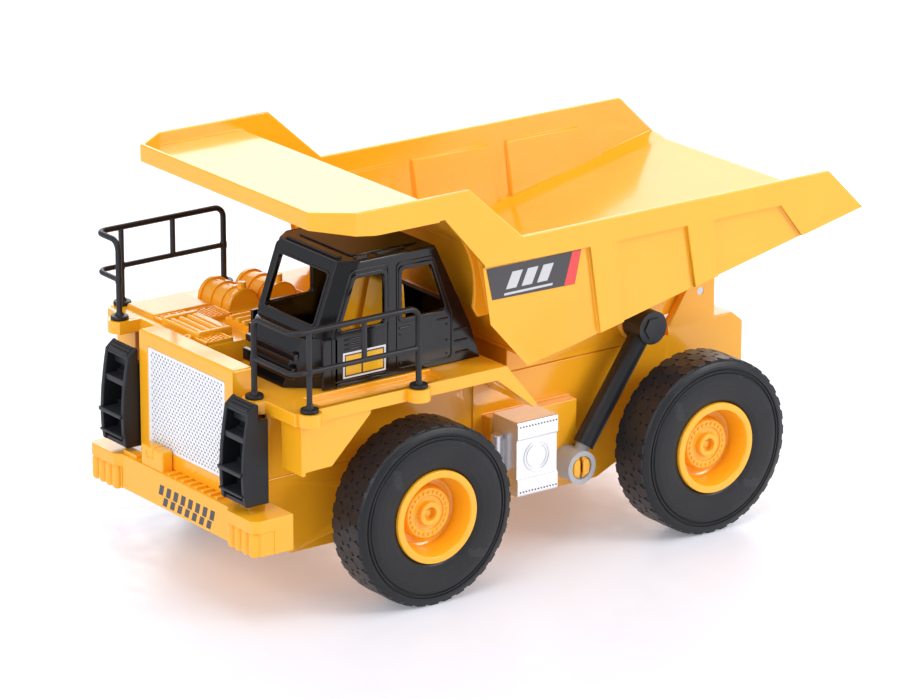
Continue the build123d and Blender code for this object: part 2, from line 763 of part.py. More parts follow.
def bed_keel():
    """Keel box under the floor, open downwards, and the rim it rests on."""
    y0, y1 = KEEL_Y
    low = FLOOR_DROP
    top = low - 0.8
    outline = [(y0, KEEL_BOTTOM), (y1, KEEL_BOTTOM), (y1, bed_low(y1) - top), (y0, bed_low(y0) - top)]
    prism_x(outline, (-FRAME_X, FRAME_X))
    y0, y1 = y0 + WALL, y1 - WALL
    hollow = [(y0, 70), (y1, 70), (y1, bed_low(y1) - low), (y0, bed_low(y0) - low)]
    prism_x(hollow, (-FRAME_X + WALL, FRAME_X - WALL), Mode.SUBTRACT)


def bed_lugs(sign):
    outer = FRAME_X - UPRIGHT_T - SIDE_GAP
    x = (sign * (outer - LUG_T), sign * outer)
    back = HINGE_Y + LUG_R
    front = KEEL_Y[1] - 1
    top = FLOOR_DROP - 0.8
    prism_x(
        [
            (front, 88),
            (HINGE_Y, HINGE_Z - LUG_R),
            (back, HINGE_Z),
            (back, bed_low(back) - top),
            (front, bed_low(front) - top),
        ],
        x,
    )
    rod_x(x, HINGE_Y, HINGE_Z, LUG_R)
    rod_x((x[0] - sign, x[1] + sign), HINGE_Y, HINGE_Z, HINGE_PIN_R + RUN_GAP, Mode.SUBTRACT)


def bed_socket(sign):
    """Boss with the blind slot that takes the hoist barrel's stub pin."""
    y = HEAD_PIVOT[0] + SOCKET_SHIFT[0]
    z = HEAD_PIVOT[1] + SOCKET_SHIFT[1]
    rod_x((sign * (FRAME_X - 0.5), sign * SOCKET_FACE), y, z, SOCKET_BOSS_R)
    x = (sign * FRAME_X, sign * (SOCKET_FACE + 1))
    for shift in (-SOCKET_HALF, SOCKET_HALF):
        rod_x(x, y + shift, z, SOCKET_R, Mode.SUBTRACT)
    block(x, (y - SOCKET_HALF, y + SOCKET_HALF), (z - SOCKET_R, z + SOCKET_R), Mode.SUBTRACT)


def bed_gussets(sign):
    """Arched rib between the canopy and the front sheet, beside the cab roof."""
    with BuildSketch(Plane.YZ.offset(sign * 58.0 - 1.0)) as rib:
        Polygon((-96, 172), (-96, 168.5), (-58, 150), (-40, 116), (-33, 116), (-33.5, 119), (-39.5, 148), (-70, 172),
                align=None)
        with Locations((-84, 128.5)):
            Circle(42.5, mode=Mode.SUBTRACT)
    extrude(rib.sketch, amount=2.0)


def make_bed():
    with BuildPart() as bed:
        bed_body()
        bed_canopy()
        for _, sign in SIDES:
            bed_gussets(sign)
        bed_hopper_cut()
        bed_panels()
        bed_keel()
        for _, sign in SIDES:
            bed_lugs(sign)
            bed_socket(sign)
    bed.part.label = "bed_hopper"
    export_step(bed.part, "parts/bed_hopper.step")


def make_stripe(name, sign):
    x = BED_X - BED_T + 0.2
    with BuildPart() as stripe:
        prism_x([(-46.6, 142.3), (3.4, 142.1), (0.1, 127.3), (-43.4, 128.1)], (sign * x, sign * (x + 0.3)))
    stripe.part.label = f"side_stripe_{name}"
    export_step(stripe.part, f"parts/side_stripe_{name}.step")


def hoist_point(distance):
    """Point on the hoist's centre line, measured up from the lower pivot."""
    dy = HEAD_PIVOT[0] - ROD_BASE[0]
    dz = HEAD_PIVOT[1] - ROD_BASE[1]
    length = math.hypot(dy, dz)
    return ROD_BASE[0] + dy * distance / length, ROD_BASE[1] + dz * distance / length


def hoist_bar(sign, start, end, radius, mode=Mode.ADD):
    y0, z0 = hoist_point(start)
    y1, z1 = hoist_point(end)
    x = sign * HOIST_X
    rod_between((x, y0, z0), (x, y1, z1), radius, mode)


def make_rod(name, sign):
    y, z = ROD_BASE
    with BuildPart() as rod:
        hoist_bar(sign, 0, ROD_REACH, ROD_R)
        rod_x((sign * RING_IN, sign * RING_OUT), y, z, RING_R)
        rod_x((sign * (RING_IN - 1), sign * (RING_OUT + 1)), y, z, SNAP_R, Mode.SUBTRACT)
        rod_x((sign * (RING_OUT - 2), sign * (RING_OUT + 1)), y, z, SNAP_LIP_R, Mode.SUBTRACT)
    rod.part.label = f"hoist_rod_{name}"
    export_step(rod.part, f"parts/hoist_rod_{name}.step")


def make_barrel(name, sign):
    y, z = HEAD_PIVOT
    length = math.hypot(y - ROD_BASE[0], z - ROD_BASE[1])
    with BuildPart() as barrel:
        hoist_bar(sign, BARREL_START, length, BARREL_R)
        rod_x((sign * (SOCKET_FACE + 0.6), sign * (RING_OUT - 0.6)), y, z, RING_R)
        with BuildSketch(Plane.YZ.offset(sign * (RING_OUT - 1.4))) as hexagon:
            with Locations((y, z)):
                RegularPolygon(5.0, 6)
        extrude(hexagon.sketch, amount=sign * 1.6)
        rod_x((sign * (FRAME_X + 0.6), sign * (SOCKET_FACE + 1)), y, z, STUB_R)
        hoist_bar(sign, BARREL_START - 1, ROD_REACH + 1.5, ROD_R + 0.08, Mode.SUBTRACT)
    barrel.part.label = f"hoist_barrel_{name}"
    export_step(barrel.part, f"parts/hoist_barrel_{name}.step")


def make_axle(name, y):
    end = WHEEL_IN + 15.0
    with BuildPart() as axle:
        rod_x((-end, end), y, AXLE_Z, AXLE_R)
    axle.part.label = f"{name}_axle_rod"
    export_step(axle.part, f"parts/{name}_axle_rod.step")


def turned(points, sign, y):
    """Profile of (distance out from the wheel's inner face, radius) turned about the axle."""
    flat = [(sign * (WHEEL_IN + u), AXLE_Z + r) for u, r in points]
    with BuildSketch(Plane((0, y, 0), x_dir=(1, 0, 0), z_dir=(0, -1, 0))) as outline:
        Polygon(*flat, align=None)
    revolve(outline.sketch, axis=Axis((0, y, AXLE_Z), (1, 0, 0)), revolution_arc=360)


def make_tyre(name, end, sign, y):
    w, r = TYRE_W, TYRE_R
    bead = RIM_R
    with BuildPart() as tyre:
        turned(
            [
                (0.9, bead),
                (0.5, bead + 3),
                (0, r - 12),
                (0.3, r - 6),
                (1.3, r - 2.2),
                (3.0, r - 0.6),
                (5.2, r),
                (w - 5.2, r),
                (w - 3.0, r - 0.6),
                (w - 1.3, r - 2.2),
                (w - 0.3, r - 6),
                (w, r - 12),
                (w - 0.5, bead + 3),
                (w - 0.9, bead),
                (w - 0.9 - TYRE_WALL, bead),
                (w - TYRE_WALL, bead + 4),
                (w - TYRE_WALL, r - 7),
                (w - TYRE_WALL - 3, r - TYRE_WALL),
                (TYRE_WALL + 3, r - TYRE_WALL),
                (TYRE_WALL, r - 7),
                (TYRE_WALL, bead + 4),
                (0.9 + TYRE_WALL, bead),
            ],
            sign,
            y,
        )
    tyre.part.label = f"tyre_{end}_{name}"
    export_step(tyre.part, f"parts/tyre_{end}_{name}.step")


def make_hub(name, end, sign, y):
    w = TYRE_W
    inner = HUB_SLEEVE_X - WHEEL_IN
    with BuildPart() as hub:
        turned(
            [
                (1.2, RIM_R),
                (w - 0.6, RIM_R),
                (w + 0.3, RIM_R - 0.6),
                (w + 0.3, 17.6),
                (w - 0.6, 17.0),
                (w - 10.5, 15.4),
                (w - 11.0, 14.6),
                (w - 11.0, 11.4),
                (w - 6.9, 10.9),
                (w - 6.6, 10.5),
                (w - 6.6, 5.2),
                (w - 4.9, 4.8),
                (w - 4.9, 3.0),
                (w - 7.9, 3.0),
                (w - 7.9, AXLE_R),
                (inner, AXLE_R),
                (inner, 5.0),
                (w - 13.2, 5.6),
                (w - 13.2, 15.6),
                (1.2, 18.4),
            ],
            sign,
            y,
        )
    hub.part.label = f"hub_{end}_{name}"
    export_step(hub.part, f"parts/hub_{end}_{name}.step")


def main():
    os.makedirs("parts", exist_ok=True)
    make_frame()
    make_base_plate()
    make_screws()
    make_hinge_pins()
    make_bumper()
    make_housing()
    make_grille()
    make_deck_left()
    make_deck_right()
    make_railing("left", POSTS_L, DECK_L_TOP)
    make_railing("right", POSTS_R, DECK_R_TOP)
    make_cab()
    make_seats()
    make_label()
    make_bed()
    for name, sign in SIDES:
        make_tower(name, sign)
        make_tank(name, sign)
        make_filter(name, sign)
        make_stripe(name, sign)
        make_rod(name, sign)
        make_barrel(name, sign)
    for end, y in AXLES:
        make_axle(end, y)
        for name, sign in SIDES:
            make_tyre(name, end, sign, y)
            make_hub(name, end, sign, y)


main()
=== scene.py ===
import json
import math

import bmesh
import bpy
from mathutils import Matrix, Vector


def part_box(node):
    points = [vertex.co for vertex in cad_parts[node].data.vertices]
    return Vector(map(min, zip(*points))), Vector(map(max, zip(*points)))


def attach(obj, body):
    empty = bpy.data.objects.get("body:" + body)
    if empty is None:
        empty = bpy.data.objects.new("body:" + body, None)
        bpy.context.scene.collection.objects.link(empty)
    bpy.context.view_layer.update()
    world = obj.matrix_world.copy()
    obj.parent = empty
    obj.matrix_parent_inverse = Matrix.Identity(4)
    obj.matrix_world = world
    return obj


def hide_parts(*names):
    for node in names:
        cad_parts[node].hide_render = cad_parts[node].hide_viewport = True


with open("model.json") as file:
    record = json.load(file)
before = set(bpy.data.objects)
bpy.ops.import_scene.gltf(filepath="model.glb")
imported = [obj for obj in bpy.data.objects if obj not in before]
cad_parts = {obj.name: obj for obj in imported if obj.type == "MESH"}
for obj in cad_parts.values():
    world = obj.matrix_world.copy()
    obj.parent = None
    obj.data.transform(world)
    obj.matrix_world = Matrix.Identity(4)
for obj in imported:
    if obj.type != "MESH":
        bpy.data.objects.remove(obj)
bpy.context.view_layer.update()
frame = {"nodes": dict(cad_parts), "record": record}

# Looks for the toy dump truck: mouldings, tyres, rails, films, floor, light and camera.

MM = 0.001
SIDES = (("left", 1), ("right", -1))
ENDS = ("front", "rear")


# ---------------------------------------------------------------- colour and materials

def linear(code, alpha=1.0):
    """sRGB hex to the linear colour that shaders take."""
    channels = [int(code[i:i + 2], 16) / 255 for i in (1, 3, 5)]
    return tuple(c / 12.92 if c <= 0.04045 else ((c + 0.055) / 1.055) ** 2.4 for c in channels) + (alpha,)


def add(tree, kind, values=None, links=None, **settings):
    """Adds one node with its settings, socket values and links."""
    made = tree.nodes.new(kind)
    for key, value in settings.items():
        setattr(made, key, value)
    for key, value in (values or {}).items():
        made.inputs[key].default_value = value
    for key, source in (links or {}).items():
        tree.links.new(source, made.inputs[key])
    return made


def plastic(name, light, dark, rough, ior=1.53, coat=0.0, grain_mm=0.5, grain=0.03, wave=0.0, metallic=0.0, rub=None):
    """Injection-moulded plastic or film: cloudy colour, uneven gloss, grain in millimetres, and a painted highlight
    that lightens sharp convex edges.
    """
    material = bpy.data.materials.new(name)
    material.use_nodes = True
    tree = material.node_tree
    shader = tree.nodes["Principled BSDF"]
    shader.inputs["IOR"].default_value = ior
    shader.inputs["Metallic"].default_value = metallic
    shader.inputs["Coat Weight"].default_value = coat
    shader.inputs["Coat Roughness"].default_value = 0.06
    place = add(tree, "ShaderNodeTexCoord").outputs["Object"]
    cloud = add(tree, "ShaderNodeTexNoise", {"Scale": 1 / 0.035, "Detail": 3.0, "Roughness": 0.5}, {"Vector": place})
    tone = add(tree, "ShaderNodeMix", {6: linear(dark), 7: linear(light)}, {0: cloud.outputs["Fac"]},
               data_type="RGBA")
    colour = tone.outputs[2]
    # Painted highlight: sharp convex edges, found by pointiness, are lightened towards this colour
    if rub:
        shape = add(tree, "ShaderNodeNewGeometry")
        edge = add(tree, "ShaderNodeMapRange", {"From Min": 0.53, "From Max": 0.62, "To Max": 0.55},
                   {"Value": shape.outputs["Pointiness"]})
        edge_lit = add(tree, "ShaderNodeMix", {7: linear(rub)}, {0: edge.outputs["Result"], 6: colour}, data_type="RGBA")
        colour = edge_lit.outputs[2]
    tree.links.new(colour, shader.inputs["Base Color"])
    smear = add(tree, "ShaderNodeTexNoise", {"Scale": 1 / 0.012, "Detail": 5.0, "Roughness": 0.6}, {"Vector": place})
    gloss = add(tree, "ShaderNodeMapRange", {"From Min": 0.3, "From Max": 0.7, "To Min": rough * 0.8,
                                             "To Max": rough * 1.25}, {"Value": smear.outputs["Fac"]})
    tree.links.new(gloss.outputs["Result"], shader.inputs["Roughness"])
    fine = add(tree, "ShaderNodeTexNoise", {"Scale": 1 / (grain_mm * MM), "Detail": 2.0}, {"Vector": place})
    bump = add(tree, "ShaderNodeBump", {"Strength": 1.0, "Distance": grain * MM}, {"Height": fine.outputs["Fac"]})
    if wave:
        sink = add(tree, "ShaderNodeTexNoise", {"Scale": 1 / 0.009, "Detail": 1.0}, {"Vector": place})
        bump = add(tree, "ShaderNodeBump", {"Strength": 1.0, "Distance": wave * MM},
                   {"Height": sink.outputs["Fac"], "Normal": bump.outputs["Normal"]})
    tree.links.new(bump.outputs["Normal"], shader.inputs["Normal"])
    return material


# Yellow ABS, injection moulded in a polished tool: warm, glossy, faint sink waves
YELLOW = plastic("polished_yellow_abs", "#FFB724", "#FBAE1E", 0.17, coat=0.15, grain_mm=0.6, grain=0.004, wave=0.05)
# Black ABS from a polished tool: deep, glossy, its sharp edges a little lighter with a painted highlight
GLOSS_BLACK = plastic("polished_black_abs", "#0F0F11", "#0A0A0C", 0.13, ior=1.46, grain_mm=0.6, grain=0.003,
                      wave=0.03, rub="#2C2C30")
# Black polypropylene, spark-eroded tool: satin with a fine grain of about 0.4 mm, its sharp edges lightened by a
# painted highlight
SATIN_BLACK = plastic("satin_black_polypropylene", "#1B1C1F", "#151619", 0.4, ior=1.42, grain_mm=0.4, grain=0.03,
                      rub="#37383C")
# Soft black PVC tyre: matt-satin, fine skin, greyer on its sharp edges with a painted highlight
TYRE = plastic("soft_black_pvc", "#17181B", "#131416", 0.38, ior=1.43, grain_mm=0.5, grain=0.05, rub="#2E2F33")
# White polystyrene of the radiator insert
WHITE = plastic("white_polystyrene", "#F4F5F7", "#E9EAED", 0.35, ior=1.59, grain_mm=0.5, grain=0.01)
# Silver-white lacquered ABS of the fuel tanks: pearly, slight metallic sheen
SILVER = plastic("silver_lacquered_abs", "#F2F2F4", "#E6E6E9", 0.3, grain_mm=0.3, grain=0.006, metallic=0.7)
# Grey ABS of the hoist rods: plain, half-gloss
GREY = plastic("grey_abs", "#B9BBBD", "#A7A9AC", 0.3, grain_mm=0.5, grain=0.01)
# Painted shade: a dark matt sheet behind the perforations stands in for the shadow inside the housing
SHADE_SHEET = plastic("matt_black_backing", "#2A2B30", "#1E1F23", 0.7, grain_mm=0.5, grain=0.02)
# Printed vinyl films: flat ink under a clear coat
FILM_DARK = plastic("printed_vinyl_charcoal", "#3B3839", "#333031", 0.3, ior=1.5, coat=0.3, grain_mm=0.8, grain=0.003)
FILM_RED = plastic("printed_vinyl_red", "#EC4540", "#DD3A37", 0.3, ior=1.5, coat=0.3, grain_mm=0.8, grain=0.003)
FILM_SILVER = plastic("printed_vinyl_silver", "#D2D1D2", "#C3C2C4", 0.32, ior=1.5, coat=0.2, grain_mm=0.8,
                      grain=0.003)
FILM_YELLOW = plastic("printed_vinyl_yellow", "#F7C01A", "#EDB411", 0.3, ior=1.5, coat=0.2, grain_mm=0.8,
                      grain=0.003)
FILM_WHITE = plastic("printed_vinyl_white", "#F1F1F2", "#E6E6E8", 0.3, ior=1.5, coat=0.2, grain_mm=0.8, grain=0.003)
# Zinc-plated steel of axles, screws and pins
STEEL = plastic("zinc_plated_steel", "#C8CACC", "#B4B7BA", 0.3, grain_mm=0.2, grain=0.01, metallic=1.0)

SLOT_FINISH = {
    "yellow_abs": YELLOW,
    "black_gloss": GLOSS_BLACK,
    "black_satin": SATIN_BLACK,
    "tyre_black": TYRE,
    "grille_white": WHITE,
    "tank_silver": SILVER,
    "filter_silver": SILVER,
    "grey_abs": GREY,
    "stripe_film": FILM_DARK,
    "label_film": FILM_YELLOW,
    "steel": STEEL,
}


# ---------------------------------------------------------------- forms, in millimetres

def rounded(points, radius, steps=4):
    """A closed outline with its corners turned into arcs; radius is one value or one for each corner."""
    out = []
    count = len(points)
    for i, corner in enumerate(points):
        r = radius[i] if isinstance(radius, (list, tuple)) else radius
        here, before, after = Vector(corner), Vector(points[i - 1]), Vector(points[(i + 1) % count])
        a, b = (before - here), (after - here)
        if r <= 0 or a.length < 1e-6 or b.length < 1e-6:
            out.append(tuple(here))
            continue
        half = a.angle(b) / 2
        if half > math.radians(88.5):
            out.append(tuple(here))
            continue
        run = min(r / math.tan(half), a.length * 0.49, b.length * 0.49)
        start, end = here + a.normalized() * run, here + b.normalized() * run
        for k in range(steps + 1):
            t = k / steps
            out.append(tuple(start * (1 - t) ** 2 + here * 2 * t * (1 - t) + end * t ** 2))
    return out


def oblong(a, b, radius=0.0):
    """Rectangular outline over two spans, with rounded corners."""
    return rounded([(a[0], b[0]), (a[1], b[0]), (a[1], b[1]), (a[0], b[1])], radius)


class Form:
    """A mesh that grows from simple forms given in millimetres."""

    def __init__(self):
        self.bm = bmesh.new()

    def point(self, x, y, z):
        return self.bm.verts.new((x * MM, y * MM, z * MM))

    def prism(self, axis, outline, low, high, soft=0.0, steps=2):
        """Outline in the plane across an axis, pushed from low to high; x takes (y, z), y takes (x, z), z (x, y)."""
        def at(u, v, w):
            return {"x": (w, u, v), "y": (u, w, v), "z": (u, v, w)}[axis]
        made = bmesh.new()
        ends = [[made.verts.new(Vector(at(u, v, w)) * MM) for u, v in outline] for w in (low, high)]
        made.faces.new(ends[0])
        made.faces.new(ends[1])
        for i in range(len(outline)):
            j = (i + 1) % len(outline)
            made.faces.new((ends[0][i], ends[0][j], ends[1][j], ends[1][i]))
        bmesh.ops.recalc_face_normals(made, faces=made.faces)
        if soft:
            sharp = [e for e in made.edges if e.calc_face_angle(0) > math.radians(24)]
            soften(made, sharp, soft, steps)
        self.take(made)
        return self

    def box(self, x, y, z, soft=0.4, steps=2):
        low, high = min(x), max(x)
        self.prism("x", oblong(y, z), low, high, soft, steps)
        return self

    def take(self, other):
        """Adds another bmesh to this one."""
        spare = bpy.data.meshes.new("spare")
        other.to_mesh(spare)
        self.bm.from_mesh(spare)
        bpy.data.meshes.remove(spare)
        other.free()

    def skin(self, rings, closed_path=False):
        """Quads between rings of points, each ring closed; an open row of rings is capped at its ends."""
        made = bmesh.new()
        rows = [[made.verts.new(Vector(p) * MM) for p in ring] for ring in rings]
        count = len(rows[0])
        spans = list(zip(rows, rows[1:])) + ([(rows[-1], rows[0])] if closed_path else [])
        for a, b in spans:
            for i in range(count):
                j = (i + 1) % count
                made.faces.new((a[i], a[j], b[j], b[i]))
        if not closed_path:
            made.faces.new(rows[0])
            made.faces.new(rows[-1])
        bmesh.ops.recalc_face_normals(made, faces=made.faces)
        self.take(made)
        return self

    def lathe(self, profile, y, z, sides=96):
        """Closed profile of (x, radius) turned about an axle that runs along x."""
        rings = []
        for k in range(sides):
            turn = 2 * math.pi * k / sides
            rings.append([(x, y + r * math.sin(turn), z + r * math.cos(turn)) for x, r in profile])
        return self.skin(rings, closed_path=True)

    def turned(self, profile, base, axis, sides=32):
        """Open profile of (distance along the axis, radius) from pole to pole, turned about any axis."""
        axis = Vector(axis).normalized()
        side = axis.orthogonal().normalized()
        other = axis.cross(side)
        rings = []
        for along, r in profile:
            ring = []
            for k in range(sides):
                turn = 2 * math.pi * k / sides
                ring.append(Vector(base) + axis * along + (side * math.cos(turn) + other * math.sin(turn)) * r)
            rings.append(ring)
        return self.skin(rings)

    def pipe(self, path, radius, sides=20):
        """Round bar that follows points."""
        pts = [Vector(p) for p in path]
        ways = [(after - before).normalized() for before, after in zip(pts[:1] + pts[:-1], pts[1:] + pts[-1:])]
        side = ways[0].orthogonal().normalized()
        rings = []
        for p, way in zip(pts, ways):
            side = (side - way * side.dot(way)).normalized()
            other = way.cross(side)
            rings.append([p + (side * math.cos(2 * math.pi * k / sides) + other * math.sin(2 * math.pi * k / sides))
                          * radius for k in range(sides)])
        return self.skin(rings)

    def mesh(self, name):
        made = bpy.data.meshes.new(name)
        self.bm.to_mesh(made)
        self.bm.free()
        return made


def smooth(mesh, angle=32):
    """Smooth faces with sharp edges kept, and flat faces kept flat up to their rounded rims."""
    mesh.shade_smooth()
    mesh.set_sharp_from_angle(angle=math.radians(angle))


def plain_mesh(obj):
    """Turns an object with modifiers into a plain mesh object."""
    bpy.context.view_layer.update()
    graph = bpy.context.evaluated_depsgraph_get()
    mesh = bpy.data.meshes.new_from_object(obj.evaluated_get(graph), depsgraph=graph)
    obj.modifiers.clear()
    obj.data = mesh
    return obj


def shown(name, mesh=None):
    """Puts a mesh into the scene under a name; without a mesh it starts blank."""
    obj = bpy.data.objects.new(name, mesh or bpy.data.meshes.new("blank"))
    bpy.context.scene.collection.objects.link(obj)
    return obj


def fit(obj, slot, *nodes, body="chassis", finish=None, angle=32, weighted=True):
    """Shades a piece, gives it the finish of its slot or another, and sets it on its body in place of CAD nodes."""
    smooth(obj.data, angle)
    if weighted:
        level = obj.modifiers.new("flat faces", "WEIGHTED_NORMAL")
        level.keep_sharp = True
        plain_mesh(obj)
    obj.data.name = obj.name
    obj.data.materials.clear()
    obj.data.materials.append(finish or SLOT_FINISH[slot])
    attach(obj, node_body(nodes[0]) if nodes else body)
    if nodes:
        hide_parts(*nodes)
    return obj


def node_body(node):
    for body, members in frame["record"]["behaviour"]["bodies"].items():
        if node in members:
            return body
    raise ValueError(node)


def box_of(node):
    """Low and high corner of a CAD node, in millimetres."""
    return [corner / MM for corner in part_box(node)]


def soften(bm, edges, size, steps=2, clamp=True):
    """Rounds edges of a bmesh; size in millimetres."""
    bmesh.ops.bevel(bm, geom=edges, offset=size * MM, segments=steps, profile=0.5, affect="EDGES",
                    clamp_overlap=clamp)


def is_thin(edge, least):
    """True where the wall on either side of an edge is lower than least, so that rounding would turn it over."""
    a, b = (v.co for v in edge.verts)
    along = (b - a).normalized()
    slack = 0.1 * MM
    for face in edge.link_faces:
        inward = face.normal.cross(along)
        reach = [abs((v.co - a).dot(inward)) for v in face.verts
                 if -slack <= (v.co - a).dot(along) <= (b - a).length + slack and v not in edge.verts]
        if reach and min(reach) < least:
            return True
    return False


def moulding(node, name, soft, steps, shortest):
    """Merged copy of a CAD node whose long edges are rounded as a mould leaves them."""
    bm = bmesh.new()
    bm.from_mesh(frame["nodes"][node].data)
    bmesh.ops.remove_doubles(bm, verts=bm.verts, dist=0.003 * MM)
    bmesh.ops.dissolve_limit(bm, angle_limit=math.radians(0.4), verts=bm.verts, edges=bm.edges)
    creases = {e for e in bm.edges if e.is_manifold and e.calc_face_angle(0) > math.radians(28)}
    picked = []
    for e in bm.edges:
        if e not in creases or e.calc_length() < shortest * MM or is_thin(e, 1.5 * soft * MM):
            continue
        near = [o for v in e.verts for o in v.link_edges if o is not e and o in creases]
        if all(o.calc_length() > 2.2 * soft * MM for o in near):
            picked.append(e)
    soften(bm, picked, soft, steps, clamp=False)
    bmesh.ops.triangulate(bm, faces=[f for f in bm.faces if len(f.verts) > 4])
    mesh = bpy.data.meshes.new(name)
    bm.to_mesh(mesh)
    bm.free()
    return shown(name, mesh)


def inset(points, depth):
    """Convex outline with every edge moved inwards by depth; a negative depth moves them outwards."""
    count = len(points)
    middle = sum((Vector(p) for p in points), Vector((0, 0))) / count
    lines = []
    for i in range(count):
        a, b = Vector(points[i]), Vector(points[(i + 1) % count])
        way = (b - a).normalized()
        normal = Vector((-way.y, way.x))
        if normal.dot(middle - a) < 0:
            normal.negate()
        lines.append((a + normal * depth, way))
    out = []
    for (p, u), (q, v) in zip([lines[-1]] + lines[:-1], lines):
        cross = u.x * v.y - u.y * v.x
        t = ((q.x - p.x) * v.y - (q.y - p.y) * v.x) / cross
        out.append(tuple(p + u * t))
    return out


def plate(form, origin, u, v, outline, thick, soft=0.35, holes=()):
    """Flat plate with rounded rims and holes, added to a form; it reaches back from the plane of u and v."""
    curve = bpy.data.curves.new("plate", "CURVE")
    curve.dimensions = "2D"
    curve.fill_mode = "BOTH"
    curve.extrude = thick / 2 - soft
    curve.bevel_depth = soft
    curve.bevel_resolution = 2
    curve.offset = -soft
    for loop in (outline, *holes):
        spline = curve.splines.new("POLY")
        spline.points.add(len(loop) - 1)
        for point, (a, b) in zip(spline.points, loop):
            point.co = (a, b, 0, 1)
        spline.use_cyclic_u = True
    carrier = shown("plate", curve)
    bpy.context.view_layer.update()
    graph = bpy.context.evaluated_depsgraph_get()
    mesh = bpy.data.meshes.new_from_object(carrier.evaluated_get(graph), depsgraph=graph)
    bpy.data.objects.remove(carrier)
    bpy.data.curves.remove(curve)
    u, v = Vector(u).normalized(), Vector(v).normalized()
    n = u.cross(v)
    turn = Matrix((u, v, n)).transposed()
    bm = bmesh.new()
    bm.from_mesh(mesh)
    bpy.data.meshes.remove(mesh)
    bmesh.ops.remove_doubles(bm, verts=bm.verts, dist=0.002)
    for vert in bm.verts:
        vert.co = (Vector(origin) + turn @ (vert.co - Vector((0, 0, thick / 2)))) * MM
    bmesh.ops.recalc_face_normals(bm, faces=bm.faces)
    form.take(bm)
    return form


def cut_corner(bm, spot, outward):
    """Cuts a closed bmesh along a plane, drops what lies outside and closes it again."""
    geom = bm.verts[:] + bm.edges[:] + bm.faces[:]
    cut = bmesh.ops.bisect_plane(bm, geom=geom, plane_co=Vector(spot) * MM, plane_no=Vector(outward),
                                 clear_outer=True)
    edges = [e for e in cut["geom_cut"] if isinstance(e, bmesh.types.BMEdge)]
    bmesh.ops.edgeloop_fill(bm, edges=edges)
    bmesh.ops.recalc_face_normals(bm, faces=bm.faces)


# ---------------------------------------------------------------- Geometry Nodes for what repeats

def tree_with(name, sockets):
    """New tree with its named inputs; returns it with a table of sockets that later rows refer to by name."""
    tree = bpy.data.node_groups.new(name, "GeometryNodeTree")
    for label, kind in sockets:
        tree.interface.new_socket(label, in_out="INPUT", socket_type="NodeSocket" + kind)
    tree.interface.new_socket("Geometry", in_out="OUTPUT", socket_type="NodeSocketGeometry")
    known = {socket.name: socket for socket in add(tree, "NodeGroupInput").outputs if socket.name}
    known["index"] = add(tree, "GeometryNodeInputIndex").outputs[0]
    return tree, known


def chain(tree, known, rows):
    """One node for each row: result, node kind, operation, then inputs as numbers, names of results, or None."""
    for result, kind, operation, *inputs in rows:
        values = {i: x for i, x in enumerate(inputs) if isinstance(x, float)}
        links = {i: known[x] for i, x in enumerate(inputs) if isinstance(x, str)}
        known[result] = add(tree, kind, values, links, operation=operation).outputs[0]


def close_tree(tree, known, turn=None):
    """Puts the block on every point, joins the carrier, realizes the copies and sets the material."""
    line = add(tree, "GeometryNodeMeshLine", {"Offset": (0, 0, 0)}, {"Count": known["total"]})
    placed = add(tree, "GeometryNodeSetPosition", links={"Geometry": line.outputs[0], "Position": known["spot"]})
    block = add(tree, "GeometryNodeObjectInfo", links={"Object": known["Block"]})
    links = {"Points": placed.outputs[0], "Instance": block.outputs["Geometry"]}
    if turn:
        links["Rotation"] = turn
    copies = add(tree, "GeometryNodeInstanceOnPoints", links=links)
    joined = add(tree, "GeometryNodeJoinGeometry", links={"Geometry": copies.outputs[0]})
    tree.links.new(known["Geometry"], joined.inputs["Geometry"])
    real = add(tree, "GeometryNodeRealizeInstances", links={"Geometry": joined.outputs[0]})
    finish = add(tree, "GeometryNodeSetMaterial", links={"Geometry": real.outputs[0], "Material": known["Material"]})
    add(tree, "NodeGroupOutput", links={"Geometry": finish.outputs[0]})


MATH, VECTOR = "ShaderNodeMath", "ShaderNodeVectorMath"


def wheel_tree():
    """Blocks round an axle in rows, every second row shifted by half a block."""
    tree, known = tree_with("blocks_round_an_axle", [
        ("Geometry", "Geometry"), ("Block", "Object"), ("Count", "Int"), ("Rows", "Int"), ("Radius", "Float"),
        ("First row", "Float"), ("Row pitch", "Float"), ("Centre", "Vector"), ("Material", "Material")])
    chain(tree, known, [
        ("total", MATH, "MULTIPLY", "Count", "Rows"),
        ("share", MATH, "DIVIDE", "index", "Count"),
        ("nudged", MATH, "ADD", "share", 0.0005),
        ("row", MATH, "FLOOR", "nudged"),
        ("odd", MATH, "MODULO", "row", 2.0),
        ("half", MATH, "MULTIPLY", "odd", 0.5),
        ("shift", MATH, "DIVIDE", "half", "Count"),
        ("share", MATH, "ADD", "share", "shift"),
        ("turn", MATH, "MULTIPLY", "share", 2 * math.pi),
        ("sine", MATH, "SINE", "turn"),
        ("cosine", MATH, "COSINE", "turn"),
        ("back", MATH, "MULTIPLY", "Radius", -1.0),
        ("y", MATH, "MULTIPLY", "sine", "back"),
        ("z", MATH, "MULTIPLY", "cosine", "Radius"),
        ("x", MATH, "MULTIPLY", "row", "Row pitch"),
        ("x", MATH, "ADD", "x", "First row"),
    ])
    known["ring"] = add(tree, "ShaderNodeCombineXYZ", links={k.upper(): known[k] for k in "xyz"}).outputs[0]
    chain(tree, known, [("spot", VECTOR, "ADD", "ring", "Centre")])
    close_tree(tree, known, add(tree, "ShaderNodeCombineXYZ", links={"X": known["turn"]}).outputs[0])
    return tree


